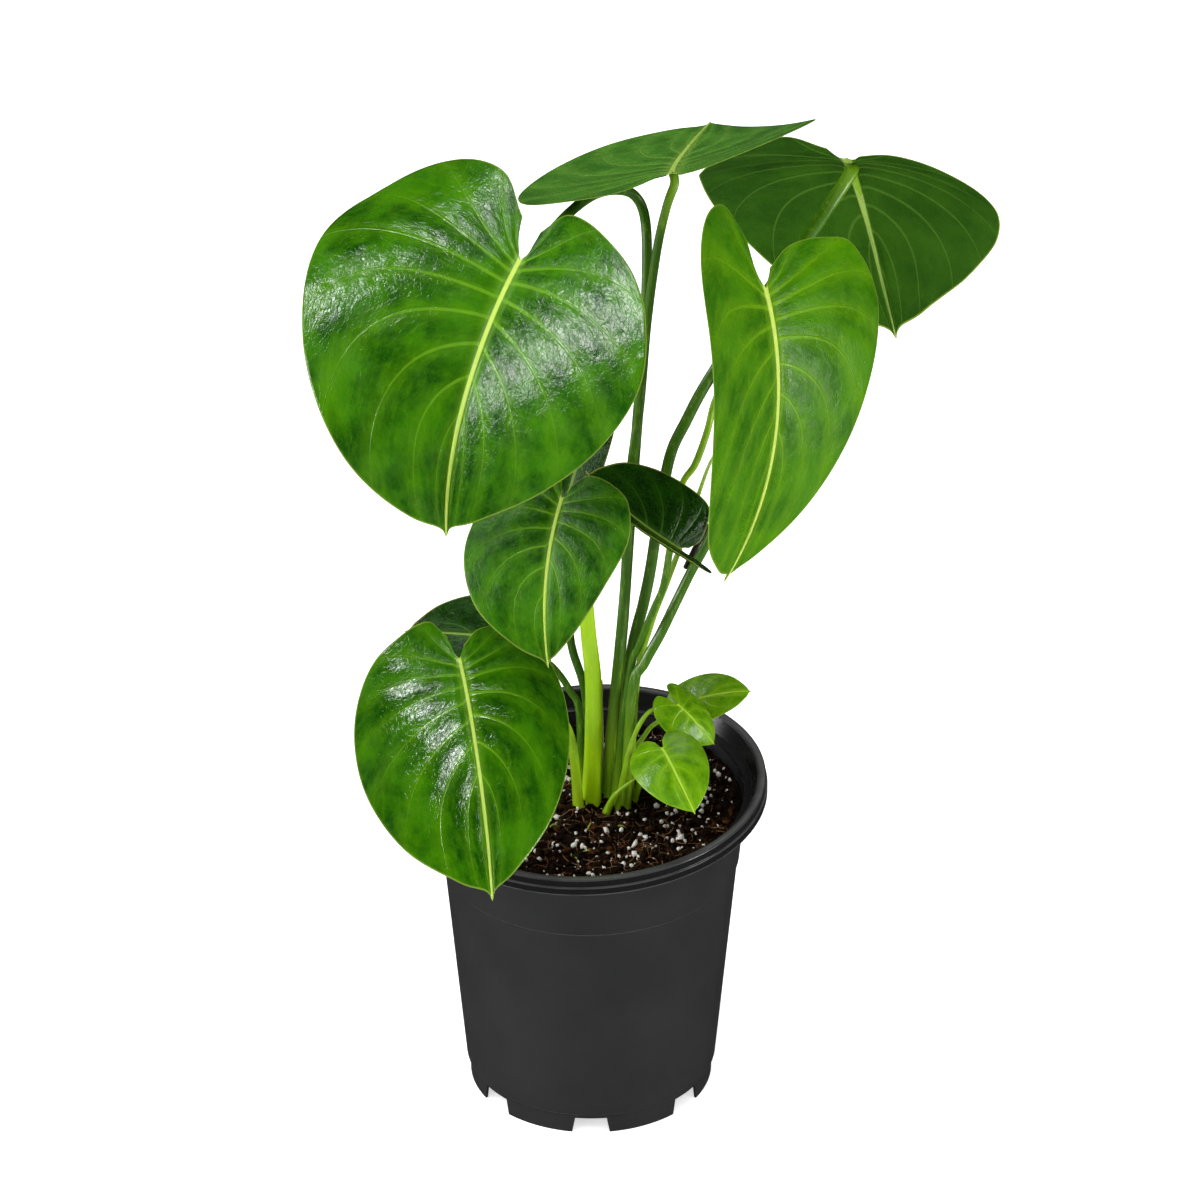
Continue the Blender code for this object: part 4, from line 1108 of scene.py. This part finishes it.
def strewn(name, count, small, large, flat, reach, material, lift, seed):
    """Many small uneven stones in one mesh: a rounded block, its corners pushed about at random, then
    stretched, turned and laid on the surface, partly sunk."""
    local = np.random.default_rng(seed)
    size = small + (large - small) * local.random(count) ** 3
    r = reach * np.sqrt(local.random(count))
    a = local.uniform(0, 2 * math.pi, count)
    x, y = r * np.cos(a), r * np.sin(a)
    body = BALL[None] * local.uniform(0.65, 1.25, (count, len(BALL), 1))
    body = body * np.stack([local.uniform(0.7, 1.3, count), local.uniform(0.6, 1.1, count),
                            np.full(count, flat)], -1)[:, None]
    turn = local.uniform(0, 2 * math.pi, count)
    c, s = np.cos(turn)[:, None], np.sin(turn)[:, None]
    body = np.stack([body[..., 0] * c - body[..., 1] * s, body[..., 0] * s + body[..., 1] * c,
                     body[..., 2] + 0.5 * body[..., 0] * local.uniform(-1, 1, (count, 1))], -1)
    body = body * size[:, None, None] / 2
    body += np.stack([x, y, mix_height(x, y) + size * flat * lift], -1)[:, None]
    faces = (BALL_FACES[None] + len(BALL) * np.arange(count)[:, None, None]).reshape(-1, 3)
    obj = mesh_object(name, body.reshape(-1, 3), faces.tolist(), [material])
    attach(obj, "root")
    return obj


look = Look("perlite")
pits = look.noise(look.place(), 1500.0, 4.0, 0.7)
grey_white = look.mix(pits.ramp(0.35, 0.65), (0.72, 0.66, 0.55), (0.96, 0.94, 0.90))
perlite_material = look.finish(grey_white, 0.85, look.bump(pits, 0.9, 0.0008))
crumb_material = soil_material("crumb", (0.0008, 0.0003, 0.0001), (0.034, 0.011, 0.002))
bark_material = soil_material("bark", (0.010, 0.003, 0.0006), (0.160, 0.055, 0.012))
inside = 0.0655
crumbs = strewn("peat_crumbs", 2600, 0.0010, 0.0052, 0.75, inside - 0.001, crumb_material, 0.2, 4)
bark = strewn("bark_bits", 420, 0.0012, 0.0060, 0.45, inside - 0.002, bark_material, 0.35, 5)
perlite = strewn("perlite_bits", 620, 0.0008, 0.0034, 0.9, inside - 0.002, perlite_material, 0.5, 6)
print("faces of crumbs, bark and perlite:", [len(o.data.polygons) for o in (crumbs, bark, perlite)])

# %% [markdown]
# Fibres are thin bent threads lying on the mix. Each is a three-sided tube of a few rings.

# %% Fibres
EDGE = 0.0645


def threads(name, count, length, thickness, material, seed, reach=0.058, lift=0.0006):
    """Thin curved threads: a bent line on the surface, with three points round each of its nine.
    Those that would leave the soil are pulled back in to EDGE from the axis."""
    local = np.random.default_rng(seed)
    s = np.linspace(-0.5, 0.5, 9)[None, :]
    long = local.uniform(0.3, 1.0, (count, 1)) * length
    a = local.uniform(0, 2 * math.pi, (count, 1)) + s * local.uniform(-2.5, 2.5, (count, 1))
    step = long / 9
    x = np.cumsum(np.cos(a) * step, axis=1)
    y = np.cumsum(np.sin(a) * step, axis=1)
    r = reach * np.sqrt(local.random((count, 1)))
    turn = local.uniform(0, 2 * math.pi, (count, 1))
    x, y = x + r * np.cos(turn), y + r * np.sin(turn)
    near = np.hypot(x, y)
    pull = np.minimum(1.0, EDGE / np.maximum(near, 1e-6))
    x, y = x * pull, y * pull
    arch = lift * local.uniform(0.2, 2.2, (count, 1)) * (1 - (2 * s) ** 2)
    z = mix_height(x, y) + arch + thickness * 0.4
    line = np.stack([x, y, z], -1)
    across = np.stack([-np.sin(a), np.cos(a), np.zeros_like(a)], -1)
    up = np.zeros_like(across)
    up[..., 2] = 1.0
    thin = thickness / 2 * (1 - 0.75 * (2 * np.abs(s)) ** 3) * local.uniform(0.5, 1.0, (count, 1))
    thin = thin[..., None]
    ring = np.stack([line + across * thin, line - across * thin, line + up * thin * 1.4], 2)
    points = ring.reshape(-1, 3)
    one = np.arange(27).reshape(9, 3)
    after = np.roll(one, -1, axis=1)
    quads = np.stack([one[:-1], after[:-1], after[1:], one[1:]], -1).reshape(-1, 4)
    sides = (quads[None] + 27 * np.arange(count)[:, None, None]).reshape(-1, 4).tolist()
    ends = [(2 + 27 * i, 1 + 27 * i, 27 * i) for i in range(count)]
    ends += [(24 + 27 * i, 25 + 27 * i, 26 + 27 * i) for i in range(count)]
    obj = mesh_object(name, points, sides + ends, [material])
    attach(obj, "root")
    return obj


def fibre_material(name, dark, light):
    look = Look(name)
    tone = look.noise(look.place(), 120.0, 3.0, 0.6)
    return look.finish(look.mix(tone.ramp(0.3, 0.7), dark, light), 0.7)


coir = fibre_material("coir", (0.060, 0.026, 0.010), (0.260, 0.130, 0.050))
litter = fibre_material("litter", (0.120, 0.190, 0.020), (0.360, 0.420, 0.060))
fibres = threads("coir_fibres", 420, 0.022, 0.00045, coir, 21)
chips = threads("green_litter", 26, 0.010, 0.0011, litter, 22, 0.045, 0.0008)
print("faces of fibres and litter:", len(fibres.data.polygons), len(chips.data.polygons))
